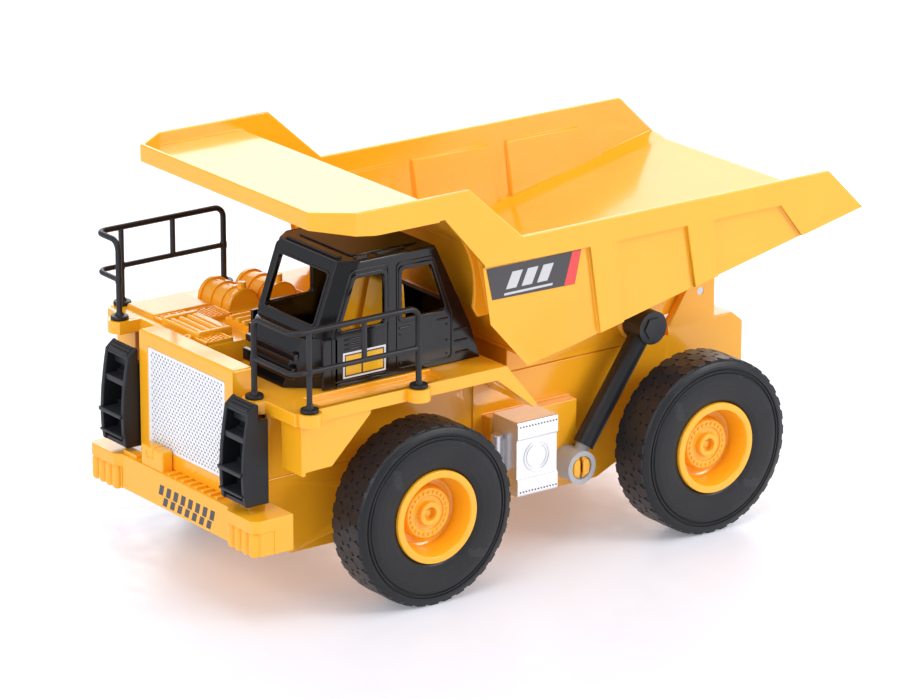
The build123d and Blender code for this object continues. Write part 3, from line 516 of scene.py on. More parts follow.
def field_tree():
    """Blocks in rows and columns along two steps, with an optional shift of every second row."""
    tree, known = tree_with("blocks_in_rows", [
        ("Geometry", "Geometry"), ("Block", "Object"), ("Columns", "Int"), ("Rows", "Int"), ("Start", "Vector"),
        ("Column step", "Vector"), ("Row step", "Vector"), ("Stagger", "Float"), ("Material", "Material")])
    chain(tree, known, [
        ("total", MATH, "MULTIPLY", "Columns", "Rows"),
        ("nudged", MATH, "ADD", "index", 0.01),
        ("share", MATH, "DIVIDE", "nudged", "Columns"),
        ("row", MATH, "FLOOR", "share"),
        ("before", MATH, "MULTIPLY", "row", "Columns"),
        ("column", MATH, "SUBTRACT", "index", "before"),
        ("odd", MATH, "MODULO", "row", 2.0),
        ("shift", MATH, "MULTIPLY", "odd", "Stagger"),
        ("column", MATH, "ADD", "column", "shift"),
        ("across", VECTOR, "SCALE", "Column step", None, None, "column"),
        ("along", VECTOR, "SCALE", "Row step", None, None, "row"),
        ("grid", VECTOR, "ADD", "across", "along"),
        ("spot", VECTOR, "ADD", "grid", "Start"),
    ])
    close_tree(tree, known)
    return tree


WHEEL_TREE = wheel_tree()
FIELD_TREE = field_tree()


def repeat(obj, tree, block, **values):
    """Runs a tree on an object and leaves a plain mesh; block is a mesh in metres about its own origin."""
    stamp = shown(obj.name + "_block", block)
    bpy.context.view_layer.update()
    values["Block"] = stamp
    modifier = obj.modifiers.new("repeat", "NODES")
    modifier.node_group = tree
    for item in tree.interface.items_tree:
        key = item.name.replace(" ", "_")
        if item.in_out == "INPUT" and key in values:
            modifier[item.identifier] = values[key]
    plain_mesh(obj)
    bpy.data.objects.remove(stamp)
    return obj


def field(obj, block, finish, columns, rows, start, column_step=(0, 0, 0), row_step=(0, 0, 0), stagger=0.0):
    """Repeats a block in rows and columns on an object; start and steps are in millimetres."""
    return repeat(obj, FIELD_TREE, block, Columns=columns, Rows=rows, Stagger=stagger, Start=Vector(start) * MM,
                  Column_step=Vector(column_step) * MM, Row_step=Vector(row_step) * MM, Material=finish)


# ---------------------------------------------------------------- wheels

BLOCK_HEIGHT = 0.34
TREAD_COUNT = 36
TREAD_ROWS = 3
BEAD = 20.6          # radius where the tyre sits on the rim
BOLTS = 24
BOLT_CIRCLE = 9.35


def tread_block(pitch):
    """Low hexagonal rubber block with a chamfered top; its foot sinks into the carcass."""
    rings = []
    for grow, z in ((0.481, -0.5), (0.478, BLOCK_HEIGHT - 0.1), (0.466, BLOCK_HEIGHT)):
        r = pitch * grow / math.cos(math.pi / 6)
        turns = [math.pi / 6 + math.pi / 3 * k for k in range(6)]
        rings.append([(r * math.cos(turn), r * math.sin(turn), z) for turn in turns])
    return Form().skin(rings).mesh("tread_block")


def wheel_place(node):
    """Axle depth and height, inner face, width and radius of a tyre or hub, in millimetres."""
    low, high = box_of(node)
    inner = min(abs(low.x), abs(high.x))
    return (low.y + high.y) / 2, (low.z + high.z) / 2, inner, high.x - low.x, (high.z - low.z) / 2


def tyre(end, side, sign):
    node = f"tyre_{end}_{side}"
    y, z, inner, w, r = wheel_place(node)
    base = r - BLOCK_HEIGHT
    flank = [
        (w - 5.0, base), (w - 3.1, base), (w - 3.0, r - 0.15), (w - 1.5, r - 1.0), (w - 0.75, r - 3.0),
        (w - 0.6, r - 3.9), (w - 1.2, r - 4.1), (w - 1.2, r - 4.6), (w - 0.5, r - 4.8), (w - 0.45, r - 5.3),
        (w - 1.05, r - 5.5), (w - 1.05, r - 6.0), (w - 0.35, r - 6.3), (w - 0.05, r - 9), (w, r - 12),
        (w - 0.25, BEAD + 3.6), (w - 0.75, BEAD + 1.2), (w - 1.5, BEAD), (w - 4.4, BEAD),
    ]
    profile = flank + [(w - 4.6, BEAD + 5), (4.6, BEAD + 5)] + [(w - u, v) for u, v in reversed(flank)]
    form = Form().lathe([(sign * (inner + u), v) for u, v in rounded(profile, 0.28, 2)], y, z, 120)
    obj = shown(f"rubber_{node}", form.mesh(node))
    pitch = 2 * math.pi * r / TREAD_COUNT
    row = pitch * math.sqrt(3) / 2
    first = sign * (inner + w / 2) - row * (TREAD_ROWS - 1) / 2
    repeat(obj, WHEEL_TREE, tread_block(pitch), Count=TREAD_COUNT, Rows=TREAD_ROWS, Radius=base * MM,
           First_row=first * MM, Row_pitch=row * MM, Centre=(0, y * MM, z * MM), Material=TYRE)
    fit(obj, "tyre_black", node, angle=30, weighted=False)


def wheel_bolt(sign):
    profile = [(-0.4, 0.75), (0.25, 0.75), (0.5, 0.62), (0.62, 0.3)]
    return Form().turned(profile, (0, 0, 0), (sign, 0, 0), 10).mesh("wheel_bolt")


def hub(end, side, sign):
    node = f"hub_{end}_{side}"
    y, z, inner, _, rim = wheel_place(node)
    _, _, start, w, _ = wheel_place(f"tyre_{end}_{side}")
    inner -= start
    profile = [
        (1.2, rim), (w - 0.2, rim), (w + 0.3, rim - 0.3), (w + 0.3, 17.7), (w - 0.2, 17.3), (w - 4.0, 16.7),
        (w - 10.4, 15.4), (w - 11.0, 14.4), (w - 11.0, 11.9), (w - 7.2, 11.3), (w - 6.6, 10.8), (w - 6.6, 7.9),
        (w - 7.3, 7.6), (w - 7.3, 5.6), (w - 5.2, 5.2), (w - 4.9, 4.9), (w - 4.9, 3.2), (w - 5.2, 2.9),
        (w - 8.0, 2.9), (w - 8.0, 2.0), (inner, 2.0), (inner, 5.0), (w - 13.2, 5.6), (w - 13.2, 15.6), (1.2, 18.4),
    ]
    form = Form().lathe([(sign * (start + u), v) for u, v in rounded(profile, 0.45, 3)], y, z, 96)
    end_cap = max(abs(corner.x) for corner in box_of(f"{end}_axle_rod")) + 0.05
    cap = [(0.0, 3.0), (0.3, 2.95), (0.35, 1.5), (0.75, 1.4), (0.85, 0.4)]
    form.turned(cap, (sign * end_cap, y, z), (sign, 0, 0), 32)
    obj = shown(f"wheel_{node}", form.mesh(node))
    repeat(obj, WHEEL_TREE, wheel_bolt(sign), Count=BOLTS, Rows=1, Radius=BOLT_CIRCLE * MM,
           First_row=sign * (start + w - 6.6) * MM, Row_pitch=0.0, Centre=(0, y * MM, z * MM), Material=YELLOW)
    fit(obj, "yellow_abs", node, angle=40, weighted=False)


for end in ENDS:
    for side, sign in SIDES:
        tyre(end, side, sign)
        hub(end, side, sign)


# ---------------------------------------------------------------- large mouldings from the frame

def mouldings():
    """Large mouldings: CAD node, name, rounding, its steps, and the shortest edge that is rounded."""
    for node, name, *softness in (
            ("bed_hopper", "bed_moulding", 0.6, 3, 3.0),
            ("chassis_frame", "chassis_moulding", 0.6, 2, 3.0),
            ("radiator_housing", "housing_moulding", 0.6, 3, 3.0),
            ("deck_left", "deck_moulding_left", 0.5, 2, 2.4),
            ("deck_right", "deck_moulding_right", 0.5, 2, 2.4),
            ("cab_seats", "seat_moulding", 1.6, 3, 3.0)):
        slot = frame["nodes"][node].data.materials[0].name.split(".")[0]
        fit(moulding(node, name, *softness), slot, node)


mouldings()


# ---------------------------------------------------------------- radiator insert

def perforation(pitch, rise, hole, deep):
    """One rectangular cell of sheet round one hole with its throat, in 12 parts."""
    cell = bmesh.new()
    side, up = pitch / 2, rise / 2
    corners = [(side, 0), (side, up / 2), (side, up), (0, up), (-side, up), (-side, up / 2), (-side, 0),
               (-side, -up / 2), (-side, -up), (0, -up), (side, -up), (side, -up / 2)]
    rings = [[], [], []]
    for (x, z), degrees in zip(corners, (0, 24, 48, 90, 132, 156, 180, 204, 228, 270, 312, 336)):
        a, b = hole * math.cos(math.radians(degrees)), hole * math.sin(math.radians(degrees))
        for ring, spot in zip(rings, ((x, 0, z), (a, 0, b), (a, deep, b))):
            ring.append(cell.verts.new(Vector(spot) * MM))
    for near, far in zip(rings, rings[1:]):
        for k in range(12):
            j = (k + 1) % 12
            cell.faces.new((near[k], near[j], far[j], far[k]))
    block = bpy.data.meshes.new("perforation")
    cell.to_mesh(block)
    cell.free()
    return block


def grille():
    """White sheet with staggered holes, grown out to its border, over a dark sheet that paints the shade behind the
    holes.
    """
    low, high = box_of("radiator_grille")
    pitch, rise, hole, deep, border = 2.39, 1.47, 0.58, 0.7, 1.1
    columns = int((high.x - low.x - 2.0) / pitch)
    rows = int((high.z - low.z - 2.0) / rise)
    wide, tall = (columns - 0.5) * pitch, (rows - 1) * rise
    front, middle = low.y + 0.05, (low.z + high.z) / 2
    sheet = field(shown("grille_sheet"), perforation(pitch, rise, hole, deep), WHITE, columns, rows,
                  (-wide / 2, front, middle - tall / 2), (pitch, 0, 0), (0, 0, rise), stagger=0.5)
    bm = bmesh.new()
    bm.from_mesh(sheet.data)
    bmesh.ops.remove_doubles(bm, verts=bm.verts, dist=0.01 * MM)
    rim_edges = [e for e in bm.edges if e.is_boundary and all(v.co.y < (front + 0.1) * MM for v in e.verts)]
    grown = bmesh.ops.extrude_edge_only(bm, edges=rim_edges)["geom"]
    edge_x, edge_z = high.x - 0.05, (high.z - low.z) / 2 - 0.05
    for v in [g for g in grown if isinstance(g, bmesh.types.BMVert)]:
        dx, dz = v.co.x / MM, v.co.z / MM - middle
        end_row = abs(dz) > (tall + rise - 0.1) / 2
        if not end_row or abs(dx) > wide / 2 - 0.1:
            v.co.x = math.copysign(edge_x, dx) * MM
        if end_row:
            v.co.z = (middle + math.copysign(edge_z, dz)) * MM
    bmesh.ops.recalc_face_normals(bm, faces=bm.faces)
    bm.to_mesh(sheet.data)
    bm.free()
    fit(sheet, "grille_white", "radiator_grille", angle=40, weighted=False)
    # Painted shade: dark sheet behind the holes
    back = Form().box((low.x, high.x), (front + deep + 0.02, high.y), (low.z, high.z), 0.1)
    fit(shown("grille_backing", back.mesh("grille_backing")), "grille_white", finish=SHADE_SHEET)
    bars = Form()
    for x in ((low.x, low.x + border), (high.x - border, high.x)):
        bars.box(x, (front - 0.1, front + deep), (low.z, high.z), 0.15)
    for z in ((low.z, low.z + border), (high.z - border, high.z)):
        bars.box((low.x, high.x), (front - 0.08, front + deep), z, 0.15)
    fit(shown("grille_border", bars.mesh("grille_border")), "grille_white")


grille()


# ---------------------------------------------------------------- cab

CAB_SIDE = ((-127.8, 96.5), (-124.6, 112.5), (-120.8, 118.2), (-117.4, 118.8), (-105.6, 150.5), (-59.4, 150.5),
            (-41.0, 112.3), (-35.9, 96.5))
WINDOW_FRONT = ((-101.0, 143.6), (-85.7, 143.6), (-85.7, 121.0), (-109.2, 121.0))
WINDOW_REAR = ((-77.2, 143.2), (-61.6, 143.2), (-53.6, 121.0), (-77.2, 121.0))
DOOR_FRONT = ((-102.9, 147.0), (-83.3, 147.0), (-83.3, 98.9), (-112.8, 98.9), (-112.8, 119.5))
DOOR_REAR = ((-79.6, 146.4), (-60.4, 146.4), (-50.4, 119.0), (-50.4, 98.9), (-79.6, 98.9))
SCREEN_FOOT, SCREEN_HEAD = CAB_SIDE[3:5]
CAB_TOP = SCREEN_HEAD[1]
CORNER_BACK = 7.0    # how far the cut front corners reach along the side, and across the front
CORNER_IN = 6.0


def cab_sides(form, x0, x1):
    """Side walls with window openings, raised window rims and door beads."""
    nose = [(-117.0, 97.0), (-117.0, SCREEN_FOOT[1]), (SCREEN_FOOT[0] + CORNER_BACK, SCREEN_FOOT[1]),
            (SCREEN_HEAD[0] + CORNER_BACK, CAB_TOP)]
    outline = rounded(nose + list(CAB_SIDE[5:]), [0, 0, 0, 0, 2.6, 1.2, 0.4])
    windows = [rounded(w, 2.2) for w in (WINDOW_FRONT, WINDOW_REAR)]
    for x, u in ((x1, 1), (x0, -1)):
        def panel(lift, outer, thick, soft, *openings):
            flat, *holes = [[(u * a, b) for a, b in loop] for loop in (outer, *openings)]
            plate(form, (x + u * lift, 0, 0), (0, u, 0), (0, 0, 1), flat, thick, soft, holes)

        panel(0.0, outline, 2.0, 0.4, *windows)
        for window in (WINDOW_FRONT, WINDOW_REAR):
            panel(0.55, rounded(inset(window, -1.5), 3.0), 1.6, 0.3, rounded(inset(window, 0.3), 1.9))
        for door in (DOOR_FRONT, DOOR_REAR):
            panel(0.4, rounded(door, 2.6), 0.9, 0.2, rounded(inset(door, 0.85), 2.0))
        panel(0.35, oblong((-110.5, -84.5), (97.7, 98.2), 0.1), 0.8, 0.1)


def cab_front(form, x0, x1):
    """Windscreen wall, corner facets and the solid nose with its cut corners."""
    low, high = Vector((0, *SCREEN_FOOT)), Vector((0, *SCREEN_HEAD))
    rise = (high - low).normalized()
    length = (high - low).length
    a, b = x0 + CORNER_IN, x1 - CORNER_IN
    outline = oblong((a - 0.25, b + 0.25), (0, length - 0.2))
    plate(form, low, (1, 0, 0), rise, outline, 2.0, 0.3, [oblong((9.5, 45.9), (4.6, 27.6), 1.8)])
    bead, inner = oblong((8.6, 46.8), (3.7, 28.5), 2.4), oblong((9.7, 45.7), (4.8, 27.4), 1.7)
    plate(form, low + rise.cross(Vector((1, 0, 0))).normalized() * -0.35, (1, 0, 0), rise, bead, 1.0, 0.25, [inner])
    for edge, side, u in ((b, x1, 1), (a, x0, -1)):
        start = Vector((edge, low.y, low.z))
        way = Vector((side, low.y + CORNER_BACK, low.z)) - start
        if u < 0:
            start, way = start + way, -way
        width = way.length
        way.normalize()
        square = way.cross(rise).normalized().cross(way)
        shift, tall = rise.dot(way) * length, rise.dot(square) * length
        outline = [(-0.2, 0), (width + 0.2, 0), (width + 0.2 + shift, tall - 0.2), (shift - 0.2, tall - 0.2)]
        plate(form, start, way, square, outline, 2.0, 0.3)
    made = Form().prism("x", list(CAB_SIDE[:4]) + [(-110.4, SCREEN_FOOT[1]), (-110.4, 96.5)], x0, x1).bm
    for side, u in ((x1, 1), (x0, -1)):
        cut_corner(made, (side - u * CORNER_IN, -128.6, 100), (u * 9.4, -6.0, 0))
        cut_corner(made, (side - u * CORNER_IN, low.y, low.z), (u * CORNER_BACK, -CORNER_IN, 0))
    sharp = [e for e in made.edges if e.calc_face_angle(0) > math.radians(20)]
    soften(made, sharp, 0.5)
    form.take(made)
    for z, y, depth in ((103.6, -126.9, 5.2), (110.6, -125.4, 3.0)):
        form.box((x0 + 9, x1 - 9), (y - 0.25, y + 2), (z - depth / 2, z + depth / 2), 0.3)


def cab_back(form, x0, x1):
    """Sloped rear wall with its window, and the lower rear panel."""
    top, mid, low = (Vector((0, y, z)) for y, z in (CAB_SIDE[5], CAB_SIDE[6], CAB_SIDE[7]))
    opening = oblong((-x1 + 10, -x0 - 10), (10.5, 33), 2.0)
    for foot, head, openings in ((mid, top, [opening]), (low, mid, [])):
        outline = oblong((-x1 + 0.5, -x0 - 0.5), (0, (head - foot).length))
        plate(form, foot, (-1, 0, 0), head - foot, outline, 2.0, 0.3, openings)


def cab_roof(form, x0, x1):
    """Roof skin with its cut front corners and pressed ribs."""
    corner = SCREEN_HEAD[0] + CORNER_BACK
    skin = [(x0 + 0.4, -59.8), (x0 + 0.4, corner), (x0 + CORNER_IN, -105.8), (x1 - CORNER_IN, -105.8),
            (x1 - 0.4, corner), (x1 - 0.4, -59.8)]
    form.prism("z", rounded(skin, 0.6), CAB_TOP - 2.0, CAB_TOP, 0.5)
    for x, y, radius, tall, soft in (
            ((x0 + 7, x1 - 7), (-97.5, -63), 3.0, 0.7, 0.4),
            ((x0 + 8, x1 - 8), (-104.2, -101.4), 1.2, 1.0, 0.4),
            ((x1 - 5.6, x1 - 3.9), (-98, -91), 0.8, 0.7, 0.3),
            ((x1 - 5.6, x1 - 3.9), (-87, -72), 0.8, 0.7, 0.3)):
        form.prism("z", oblong(x, y, radius), CAB_TOP - 0.5, CAB_TOP + tall, soft)


def cab():
    x0, x1 = box_of("cab_shell")[0].x, 55.0
    form = Form()
    cab_sides(form, x0, x1)
    cab_front(form, x0, x1)
    cab_back(form, x0, x1)
    cab_roof(form, x0, x1)
    for x in (x0 + 0.85, x1 - 0.85):
        form.pipe([(x, -98.2, 149.65), (x, -60.0, 149.65)], 1.0)
    line = [(0.0, 0.1), (0.2, 0.35), (0.5, 0.42), (5.5, 0.42), (5.8, 0.35), (6.0, 0.1)]
    for y, z in ((-78.4, 117.2), (-58.6, 117.2), (-110.0, 98.4), (-94.0, 98.4)):
        form.turned(line, (x1 + 0.1, y, z), (0, 1, 0), 12)
    for y, z in ((-77.5, 114.5), (-53.5, 114.5), (-77.5, 101.5), (-53.5, 101.5), (-53.5, 107.5)):
        form.turned([(-0.2, 0.55), (0.25, 0.5), (0.4, 0.25)], (x1, y, z), (1, 0, 0), 10)
    fit(shown("cab_moulding", form.mesh("cab")), "black_gloss", "cab_shell", angle=34)
    for name, length, r, start, step in (
            ("cab_vents", 7.0, 0.5, (x1, -49.0, 100.9), (0, -0.4, 5.1)),
            ("cab_side_louvres", 10.0, 0.48, (x1, -106.5, 113.0), (0, 0, 2.1))):
        profile = [(0.0, 0.1), (0.25, r - 0.08), (0.6, r)]
        profile += [(length - along, wide) for along, wide in reversed(profile)]
        bar = Form().turned(profile, (0, 0, 0), (0, 1, 0), 12).mesh("bar")
        bars = field(shown(name), bar, GLOSS_BLACK, 1, 3, start, row_step=step)
        fit(bars, "black_gloss", angle=40, weighted=False)


cab()


# ---------------------------------------------------------------- bumper

def bumper():
    """Beam with a smooth upper band, ridged ends, a box with a hook, grip ribs and two rows of slanted print bars."""
    low, high = box_of("front_bumper")
    front, back, x = low.y, high.y, high.x
    mid = front + 2.6
    top, foot = 49.8, low.z
    plan = [(-x, front + 3), (-x + 2, front), (-44, front), (-41, mid), (41, mid), (44, front), (x - 2, front),
            (x, front + 3), (x, back), (-x, back)]
    form = Form()
    form.prism("z", rounded(plan, [2, 2, 1.2, 1.2, 1.2, 1.2, 2, 2, 0.5, 0.5], 5), 44.2, top, 0.9, 3)
    form.prism("z", oblong((-41.4, 41.4), (mid - 0.06, back), 0.3), foot + 1.2, top + 0.02, 0.9, 3)
    ridge = [(0.0, 0.7), (0.35, 1.6), (1.1, 2.1), (2.0, 2.3), (8.6, 2.3), (9.8, 2.2), (11.2, 1.6), (12.4, 0.3)]
    for u in (1, -1):
        block = [(42.2, mid + 0.3), (44.2, front + 1.5), (x - 3.2, front + 1.5), (x - 0.5, front + 4.2),
                 (x - 0.5, back), (42.2, back)]
        form.prism("z", rounded([(u * a, b) for a, b in block], 0.6, 3), foot + 0.6, 46.6, 0.4)
        for i in range(4):
            form.turned(ridge, (u * (45.0 + 5.3 * i), front + 2.35, foot), (0, 0, 1), 28)
        form.box((u * (x - 1.2), u * (x - 0.1)), (front + 10.5, back), (foot + 0.6, 45.6), 0.35)
    a, b = -27.2, -10.4
    form.box((a, b), (mid + 0.6, -150.2), (top - 1, 59.0), 0.9, 3)
    hook = [(a + 9.2, -150.6, 59.0), (a + 9.2, mid + 0.75, 59.0), (a + 9.2, mid + 0.6, 54.0),
            (a + 4.4, mid + 0.6, 54.0), (a + 4.4, mid + 0.6, 56.8)]
    form.pipe(corner_path(hook, 0.9, 4), 0.42, sides=10)
    form.box((-42.5, -31.8), (mid + 1.2, -150.3), (top - 0.6, top + 1.8), 0.5)
    fit(shown("bumper_moulding", form.mesh("bumper")), "yellow_abs", "front_bumper", angle=34)
    bar = Form().box((-0.95, 0.95), (0, 5.6), (-0.6, 1.15), 0.35).mesh("grip_rib")
    ribs = field(shown("bumper_grip_ribs"), bar, YELLOW, 8, 1, (-6.0, mid + 1.0, top), (5.2, 0, 0))
    fit(ribs, "yellow_abs", angle=34)
    for row, (count, start, z, tall) in enumerate(((8, -10.6, 42.4, 2.3), (7, -7.6, 37.6, 1.9))):
        slash = Form().prism("y", [(-1.9, -tall), (1.3, -tall), (2.7, tall), (-0.5, tall)], -0.06, 0.3)
        marks = field(shown(f"bumper_print_{row}"), slash.mesh("print_slash"), FILM_DARK, count, 1,
                      (start, mid - 0.06, z), (5.6, 0, 0))
        fit(marks, "stripe_film", angle=34, weighted=False)


# ---------------------------------------------------------------- headlamp towers

TOWER_SIDE = ((-145.5, 53.4), (-157.0, 53.4), (-158.0, 60.0), (-158.2, 68.0), (-157.6, 77.0), (-156.4, 86.0),
              (-155.0, 94.4), (-150.2, 98.4), (-150.2, 90.6), (-145.5, 90.6))
TOWER_SHELVES = ((57.4, 59.6, True), (66.6, 69.4, True), (80.6, 83.4, False))


def tower_front(z):
    """How far forward the side of a tower reaches at a height."""
    for (y0, z0), (y1, z1) in zip(TOWER_SIDE[1:7], TOWER_SIDE[2:8]):
        if z <= z1:
            return y0 + (y1 - y0) * (z - z0) / (z1 - z0)
    return TOWER_SIDE[7][0]


def towers():
    """Open lamp towers: two curved side walls, shelves with forward lips, and a sloping cap with louvres."""
    for side, u in SIDES:
        low, high = box_of(f"headlamp_tower_{side}")
        form = Form()
        outline = rounded(TOWER_SIDE, [0.3, 1.2, 2, 3, 4, 3, 0.8, 0.8, 0.2, 0.3], 4)
        for x, w in ((high.x, 1), (low.x, -1)):
            plate(form, (x, 0, 0), (0, w, 0), (0, 0, 1), [(w * a, b) for a, b in outline], 2.3, 0.45)
        a, b = low.x + 1.4, high.x - 1.4
        form.box((a, b), (-148.8, -146.0), (54.0, 90.2), 0.2)
        form.box((a, b), (-151.6, -150.4), (88.0, 97.0), 0.2)
        form.box((a, b), (tower_front(54.5) + 0.7, -147.0), (53.5, 55.5), 0.4)
        for z0, z1, lip in TOWER_SHELVES:
            reach = tower_front(z0) + (-0.9 if lip else 0.9)
            left, roof = (low.x - 0.1, z1 - 0.9) if lip else (a + 0.2, z1)
            form.box((left, b), (reach, -147.4), (z0, roof), 0.5, 3)
            form.box((a, b), (-150.6, -147.4), (z0, z1 + 1.0), 0.5)
        cap = [(-155.0, 92.8), (-154.9, 94.0), (-150.5, 97.7), (-150.4, 92.8)]
        form.prism("x", rounded(cap, 0.3), a, b, 0.2)
        for k in range(3):
            share = 0.18 + 0.3 * k
            y, z = -154.9 + 4.4 * share, 94.0 + 3.7 * share
            rib = [(y - 0.5, z - 0.9), (y - 0.5, z + 0.28), (y + 0.5, z + 0.95), (y + 0.5, z - 0.3)]
            form.prism("x", rounded(rib, 0.15), a + 0.8, b - 0.8, 0.12)
        fit(shown(f"lamp_tower_{side}", form.mesh("tower")), "black_satin", f"headlamp_tower_{side}", angle=34)


towers()


# ---------------------------------------------------------------- hoist eyes

def prongs():
    """Two rounded snap prongs in the eye of each hoist rod."""
    for side, u in SIDES:
        low, high = box_of(f"hoist_rod_{side}")
        outer = max(abs(low.x), abs(high.x))
        y, z = low.y + 7.5, low.z + 7.5
        form = Form()
        for w in (1, -1):
            a, b = y + w * 0.8, y + w * 4.1
            form.prism("x", rounded([(a, z - 4.0), (b, z - 3.2), (b, z + 3.2), (a, z + 4.0)], 1.6, 5),
                       u * (outer - 1.85), u * (outer - 0.1), 0.7, 3)
        fit(shown(f"snap_prongs_{side}", form.mesh("prongs")), "yellow_abs", angle=40)


prongs()


# ---------------------------------------------------------------- fuel tanks

def tanks():
    """Stepped tanks with two rings on the outer face and a row of rivets along each lip."""
    lip, step = 7.6, 0.9
    for side, u in SIDES:
        node = f"fuel_tank_{side}"
        low, high = box_of(node)
        inner, outer = sorted((abs(low.x), abs(high.x)))
        z0, z1 = low.z, high.z
        section = [(inner, z0), (outer, z0), (outer, z0 + lip), (outer - step, z0 + lip + step),
                   (outer - step, z1 - lip - step), (outer, z1 - lip), (outer, z1), (inner, z1)]
        outline = rounded([(u * a, b) for a, b in section], [0.2, 1.6, 0.4, 0.4, 0.4, 0.4, 1.6, 0.2], 4)
        form = Form().prism("y", outline, low.y, high.y, 0.45)
        for r, wide, tall in ((6.3, 0.7, 0.42), (5.0, 0.6, 0.36)):
            ring = [(-0.3, r), (tall - 0.14, r), (tall, r + 0.2), (tall, r + wide - 0.2), (tall - 0.14, r + wide),
                    (-0.3, r + wide)]
            form.lathe([(u * (outer - step + a), b) for a, b in ring], (low.y + high.y) / 2, (z0 + z1) / 2, 64)
        fit(shown(f"tank_moulding_{side}", form.mesh(node)), "tank_silver", node, angle=34)
        head = Form().turned([(-0.2, 0.36), (0.12, 0.36), (0.3, 0.26), (0.36, 0.1)], (0, 0, 0), (u, 0, 0), 8)
        rivets = field(shown(f"tank_rivets_{side}"), head.mesh("rivet"), SATIN_BLACK, 13, 2,
                       (u * outer, low.y + 1.5, z0 + 2.2), (0, 1.6, 0), (0, 0, z1 - z0 - 4.4))
        fit(rivets, "tank_silver", finish=SATIN_BLACK, angle=40, weighted=False)


tanks()


# ---------------------------------------------------------------- printed films

def film(name, outline, face, u, lift, slot, body, finish):
    """Thin printed patch on a side face; u is the side it looks to."""
    form = Form().prism("x", outline, u * (face - 0.2), u * (face + lift))
    fit(shown(name, form.mesh(name)), slot, body=body, finish=finish, angle=34, weighted=False)


def films():
    """Plain geometric marks in place of the printed ones: slanted bars and one bright end bar."""
    for side, u in SIDES:
        face = max(abs(corner.x) for corner in box_of(f"side_stripe_{side}"))
        marks = [("end_bar", [(3.2, 142.0), (-1.4, 142.0), (-5.6, 127.6), (0.0, 127.4)], FILM_RED)]
        for i, a in enumerate((-36.5, -28.3, -20.1)):
            bar = [(a, 131.6), (a + 5.5, 131.6), (a + 8.9, 138.9), (a + 3.4, 138.9)]
            marks.append((f"bar_{i}", bar, FILM_SILVER))
        marks.append(("line", [(-37.5, 129.0), (-12.0, 129.0), (-11.7, 130.0), (-37.2, 130.0)], FILM_SILVER))
        for name, outline, finish in marks:
            film(f"film_{name}_{side}", outline, face, u, 0.05, "stripe_film", "bed", finish)
    low, high = box_of("cab_label")
    x, y0, y1, z0, z1 = high.x, low.y, high.y, low.z, high.z
    loop = oblong((y0, y1), (z0, z1))
    border = Form()
    plate(border, (x + 0.12, 0, 0), (0, 1, 0), (0, 0, 1), loop, 0.4, 0.03, [inset(loop, 0.75)])
    fit(shown("label_border", border.mesh("label_border")), "label_film", finish=FILM_WHITE, angle=34, weighted=False)
    patch = Form().prism("x", inset(loop, 0.7), x - 0.25, x + 0.04)
    fit(shown("label_field", patch.mesh("label_field")), "label_film", "cab_label", finish=FILM_DARK, angle=34,
        weighted=False)
    mid_y, mid_z = (y0 + y1) / 2 - 1.2, (z0 + z1) / 2 + 0.4
    columns = ((y0 + 1.4, mid_y - 0.4), (mid_y + 0.4, y1 - 1.4))
    rows = ((mid_z + 0.4, z1 - 1.4), (z0 + 1.4, mid_z - 0.4))
    for i, ((a, b), (c, d)) in enumerate([(column, row) for row in rows for column in columns]):
        film(f"label_block_{i}", oblong((a, b), (c, d)), x, 1, 0.09, "label_film", "chassis", FILM_YELLOW)


films()


# ---------------------------------------------------------------- hood details

def lattice(name, x, y, z, pitch=1.9):
    """Raised lattice of small square studs over a deck pad."""
    obj = shown(name, Form().box(x, y, (z - 0.6, z + 0.15), 0.15).mesh(name))
    half = pitch * 0.31
    stud = Form().box((-half, half), (-half, half), (-0.1, 0.55), 0.1, 1)
    columns, rows = (int((span[1] - span[0] - 0.8) / pitch) for span in (x, y))
    start = ((x[0] + x[1] - (columns - 0.5) * pitch) / 2, (y[0] + y[1] - (rows - 1) * pitch) / 2, z + 0.15)
    field(obj, stud.mesh("stud"), YELLOW, columns, rows, start, (pitch, 0, 0), (0, pitch, 0), stagger=0.5)
    fit(obj, "yellow_abs", angle=34, weighted=False)


def rim(form, x, y, z, wide=1.3, tall=1.0, soft=0.45):
    """Raised rectangular rim with rounded edges."""
    (x0, x1), (y0, y1) = x, y
    for span in ((x0, x0 + wide), (x1 - wide, x1)):
        form.box(span, y, (z - 0.8, z + tall), soft)
    for span in ((y0, y0 + wide), (y1 - wide, y1)):
        form.box(x, span, (z - 0.8, z + tall), soft)


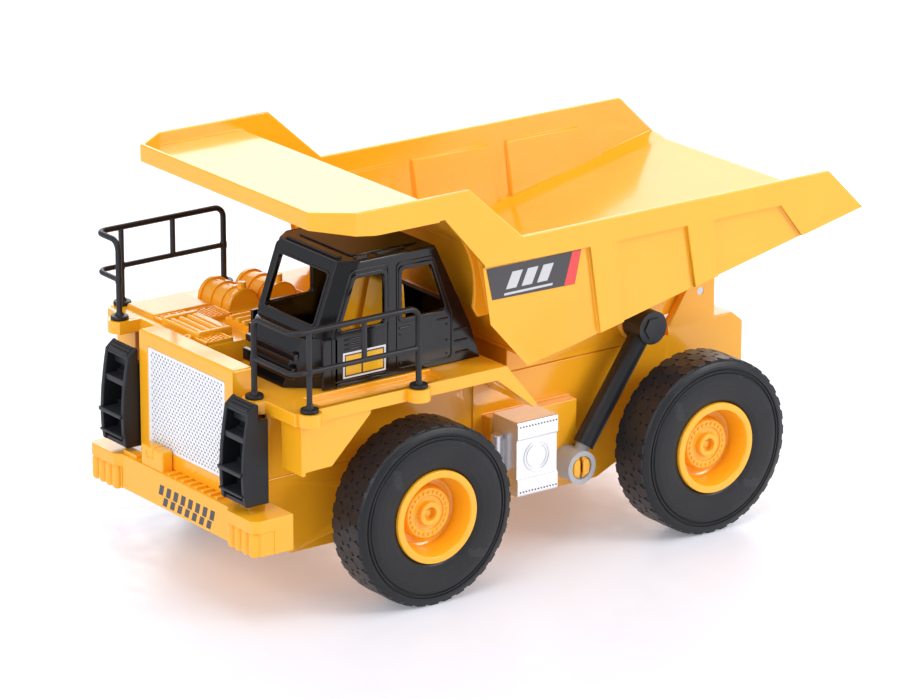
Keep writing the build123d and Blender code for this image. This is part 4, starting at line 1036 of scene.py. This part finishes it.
def hood():
    """Mesh pads with rims, the frame of the long louvres, a push button and the ribbed and black blocks."""
    top = box_of("railing_right")[0].z + 4.0
    lattice("hood_mesh_left", (-46.5, -40.4), (-134.5, -121.0), top + 0.9)
    lattice("hood_mesh_rear", (-43.2, -30.8), (-118.2, -107.0), top + 1.25)
    lattice("hood_mesh_front", (-10.2, -2.2), (-137.2, -125.4), top + 1.25)
    form = Form()
    rim(form, (-47.3, -39.6), (-135.4, -120.2), top + 0.9, 0.9, 0.5, 0.3)
    rim(form, (-44.0, -30.0), (-119.0, -106.2), top + 1.2, 0.9, 0.8, 0.35)
    rim(form, (-11.0, -1.4), (-138.0, -124.6), top + 1.2, 0.9, 0.8, 0.35)
    for x in ((-39.8, -36.6), (-13.4, -10.6)):
        form.box(x, (-136.3, -118.9), (top - 0.4, top + 3.5), 0.9, 3)
    for y in ((-136.4, -134.7), (-122.6, -118.8)):
        form.box((-39.0, -11.0), y, (top - 0.4, top + 3.0), 0.7, 3)
    for x in (-20.0, -15.0, -10.0):
        form.turned([(0.0, 0.3), (0.3, 1.5), (0.9, 1.9), (11.1, 1.9), (11.7, 1.5), (12.0, 0.3)],
                    (x, -114.2, top + 3.0), (0, 1, 0), 20)
    form.turned([(-0.5, 2.6), (1.6, 2.5), (2.0, 2.1), (2.0, 1.3), (1.2, 1.1), (1.1, 0.2)], (-16.5, -138.2, top - 1.0),
                (0, -0.3, 1), 28)
    fit(shown("hood_frames", form.mesh("hood_frames")), "yellow_abs", angle=34)
    form = Form()
    for k in range(4):
        form.box((-6.4, -0.4), (-113.6 + 2.6 * k, -111.9 + 2.6 * k), (top - 0.5, top + 5.2), 0.35)
    form.box((-6.2, -0.6), (-113.2, -104.4), (top - 0.5, top + 4.6), 0.3)
    fit(shown("hood_black_block", form.mesh("hood_black_block")), "black_gloss", angle=34)


hood()


# ---------------------------------------------------------------- hand rails

def corner_path(points, radius, steps=7):
    """Open path whose inner corners become arcs."""
    pts = [Vector(p) for p in points]
    out = [pts[0]]
    for before, corner, after in zip(pts, pts[1:], pts[2:]):
        a, b = (before - corner).normalized(), (after - corner).normalized()
        half = a.angle(b) / 2
        run = radius / math.tan(half)
        centre = corner + (a + b).normalized() * (radius / math.sin(half))
        start, end = corner + a * run - centre, corner + b * run - centre
        turn = start.normalized()
        out.extend(centre + turn.slerp(end.normalized(), k / steps) * radius for k in range(steps + 1))
    out.append(pts[-1])
    return out


def rail(side, top, posts):
    """Three flanged posts on a deck, a top bar and a middle bar bent round the corner, and one stay."""
    high, mid, foot = top + 35.0, top + 17.5, top + 1.2
    (ix, iy), (ox, oy), (rx, ry) = posts
    form = Form()
    form.pipe(corner_path([(ix, iy, foot), (ix, iy, high), (ox, iy, high), (ox, ry, high), (rx, ry, foot)], 4.6), 1.3)
    form.pipe(corner_path([(ix, iy, mid), (ox, iy, mid), (ox, ry, mid)], 4.6), 1.15)
    form.pipe([(ox, oy, foot), (ox, oy, high)], 1.2)
    half = (oy + ry) / 2
    form.pipe([(ox, half, mid), (ox, half, high)], 1.2)
    flange = rounded([(0.02, 3.3), (0.0, 3.9), (0.9, 4.0), (1.7, 3.8), (1.75, 2.6), (2.1, 2.0), (2.9, 1.45)], 0.3, 3)
    for x, y in posts:
        form.turned([(0.0, 0.2)] + flange + [(3.3, 1.2)], (x, y, top), (0, 0, 1), 36)
        form.turned([(-1.8, 1.25), (-1.1, 1.55), (1.1, 1.55), (1.8, 1.25)], (x, y, mid), (0, 0, 1), 24)
    node = f"railing_{side}"
    fit(shown(f"hand_rail_{side}", form.mesh(node)), "black_satin", node, angle=35, weighted=False)


rail("left", 96.5, ((44.0, -144.5), (73.0, -136.5), (73.0, -81.0)))
rail("right", 105.3, ((-56.5, -146.8), (-73.5, -134.5), (-73.5, -81.5)))
bumper()


# ---------------------------------------------------------------- every other CAD node keeps its shape

for node_object in frame["nodes"].values():
    for i, old in enumerate(list(node_object.data.materials)):
        node_object.data.materials[i] = SLOT_FINISH[old.name.split(".")[0]]


# ---------------------------------------------------------------- floor, light and camera

def stage_floor():
    bm = bmesh.new()
    bmesh.ops.create_grid(bm, x_segments=8, y_segments=8, size=6.0)
    mesh = bpy.data.meshes.new("studio_floor")
    bm.to_mesh(mesh)
    bm.free()
    floor = shown("studio_floor", mesh)
    # Pale floor with a faint painted glow of its own, so shadows stay soft and pale
    floor_glow = plastic("opal_acrylic_table", "#E3E2E7", "#E0DFE4", 0.45, grain_mm=2.0, grain=0.01)
    shader = floor_glow.node_tree.nodes["Principled BSDF"]
    # Painted glow: the floor emits light to lift the shadows under the truck
    shader.inputs["Emission Color"].default_value = linear("#F4F6FF")
    shader.inputs["Emission Strength"].default_value = 0.2
    mesh.materials.append(floor_glow)


def softbox(name, place, wide, tall, power):
    """Rectangular softbox aimed at the middle of the truck, out of the camera's sight."""
    light = bpy.data.lights.new(name, "AREA")
    light.shape = "RECTANGLE"
    light.size, light.size_y = wide, tall
    light.energy = power
    obj = bpy.data.objects.new(name, light)
    obj.location = place
    obj.rotation_euler = (Vector((0, 0, 0.08)) - Vector(place)).to_track_quat("-Z", "Y").to_euler()
    obj.visible_camera = False
    bpy.context.scene.collection.objects.link(obj)


def lights():
    world = bpy.data.worlds.new("studio")
    bpy.context.scene.world = world
    world.use_nodes = True
    sky = world.node_tree.nodes["Background"]
    sky.inputs["Color"].default_value = linear("#F3F6FF")
    sky.inputs["Strength"].default_value = 0.68
    softbox("front_softbox", (0.3, -1.5, 0.9), 1.4, 1.0, 11)
    softbox("overhead_softbox", (0.5, -0.2, 1.7), 1.1, 1.0, 7)
    softbox("near_softbox", (1.45, 1.15, 1.0), 0.8, 0.7, 17)
    softbox("rear_softbox", (-1.55, 1.0, 0.9), 2.0, 1.3, 18)


def camera():
    data = bpy.data.cameras.new("camera")
    data.lens, data.sensor_width = 203.94, 36.0
    data.clip_start, data.clip_end = 0.05, 30.0
    obj = bpy.data.objects.new("camera", data)
    turn, dip, roll = math.radians(53.98), math.radians(18.236), math.radians(0.03)
    look = Vector((-math.sin(turn) * math.cos(dip), math.cos(turn) * math.cos(dip), -math.sin(dip)))
    obj.location = (1.71989, -1.26217, 0.78093)
    obj.rotation_euler = (look.to_track_quat("-Z", "Y").to_matrix() @ Matrix.Rotation(roll, 3, "Z")).to_euler()
    bpy.context.scene.collection.objects.link(obj)
    bpy.context.scene.camera = obj


bpy.context.scene.view_settings.view_transform = "Standard"
stage_floor()
lights()
camera()
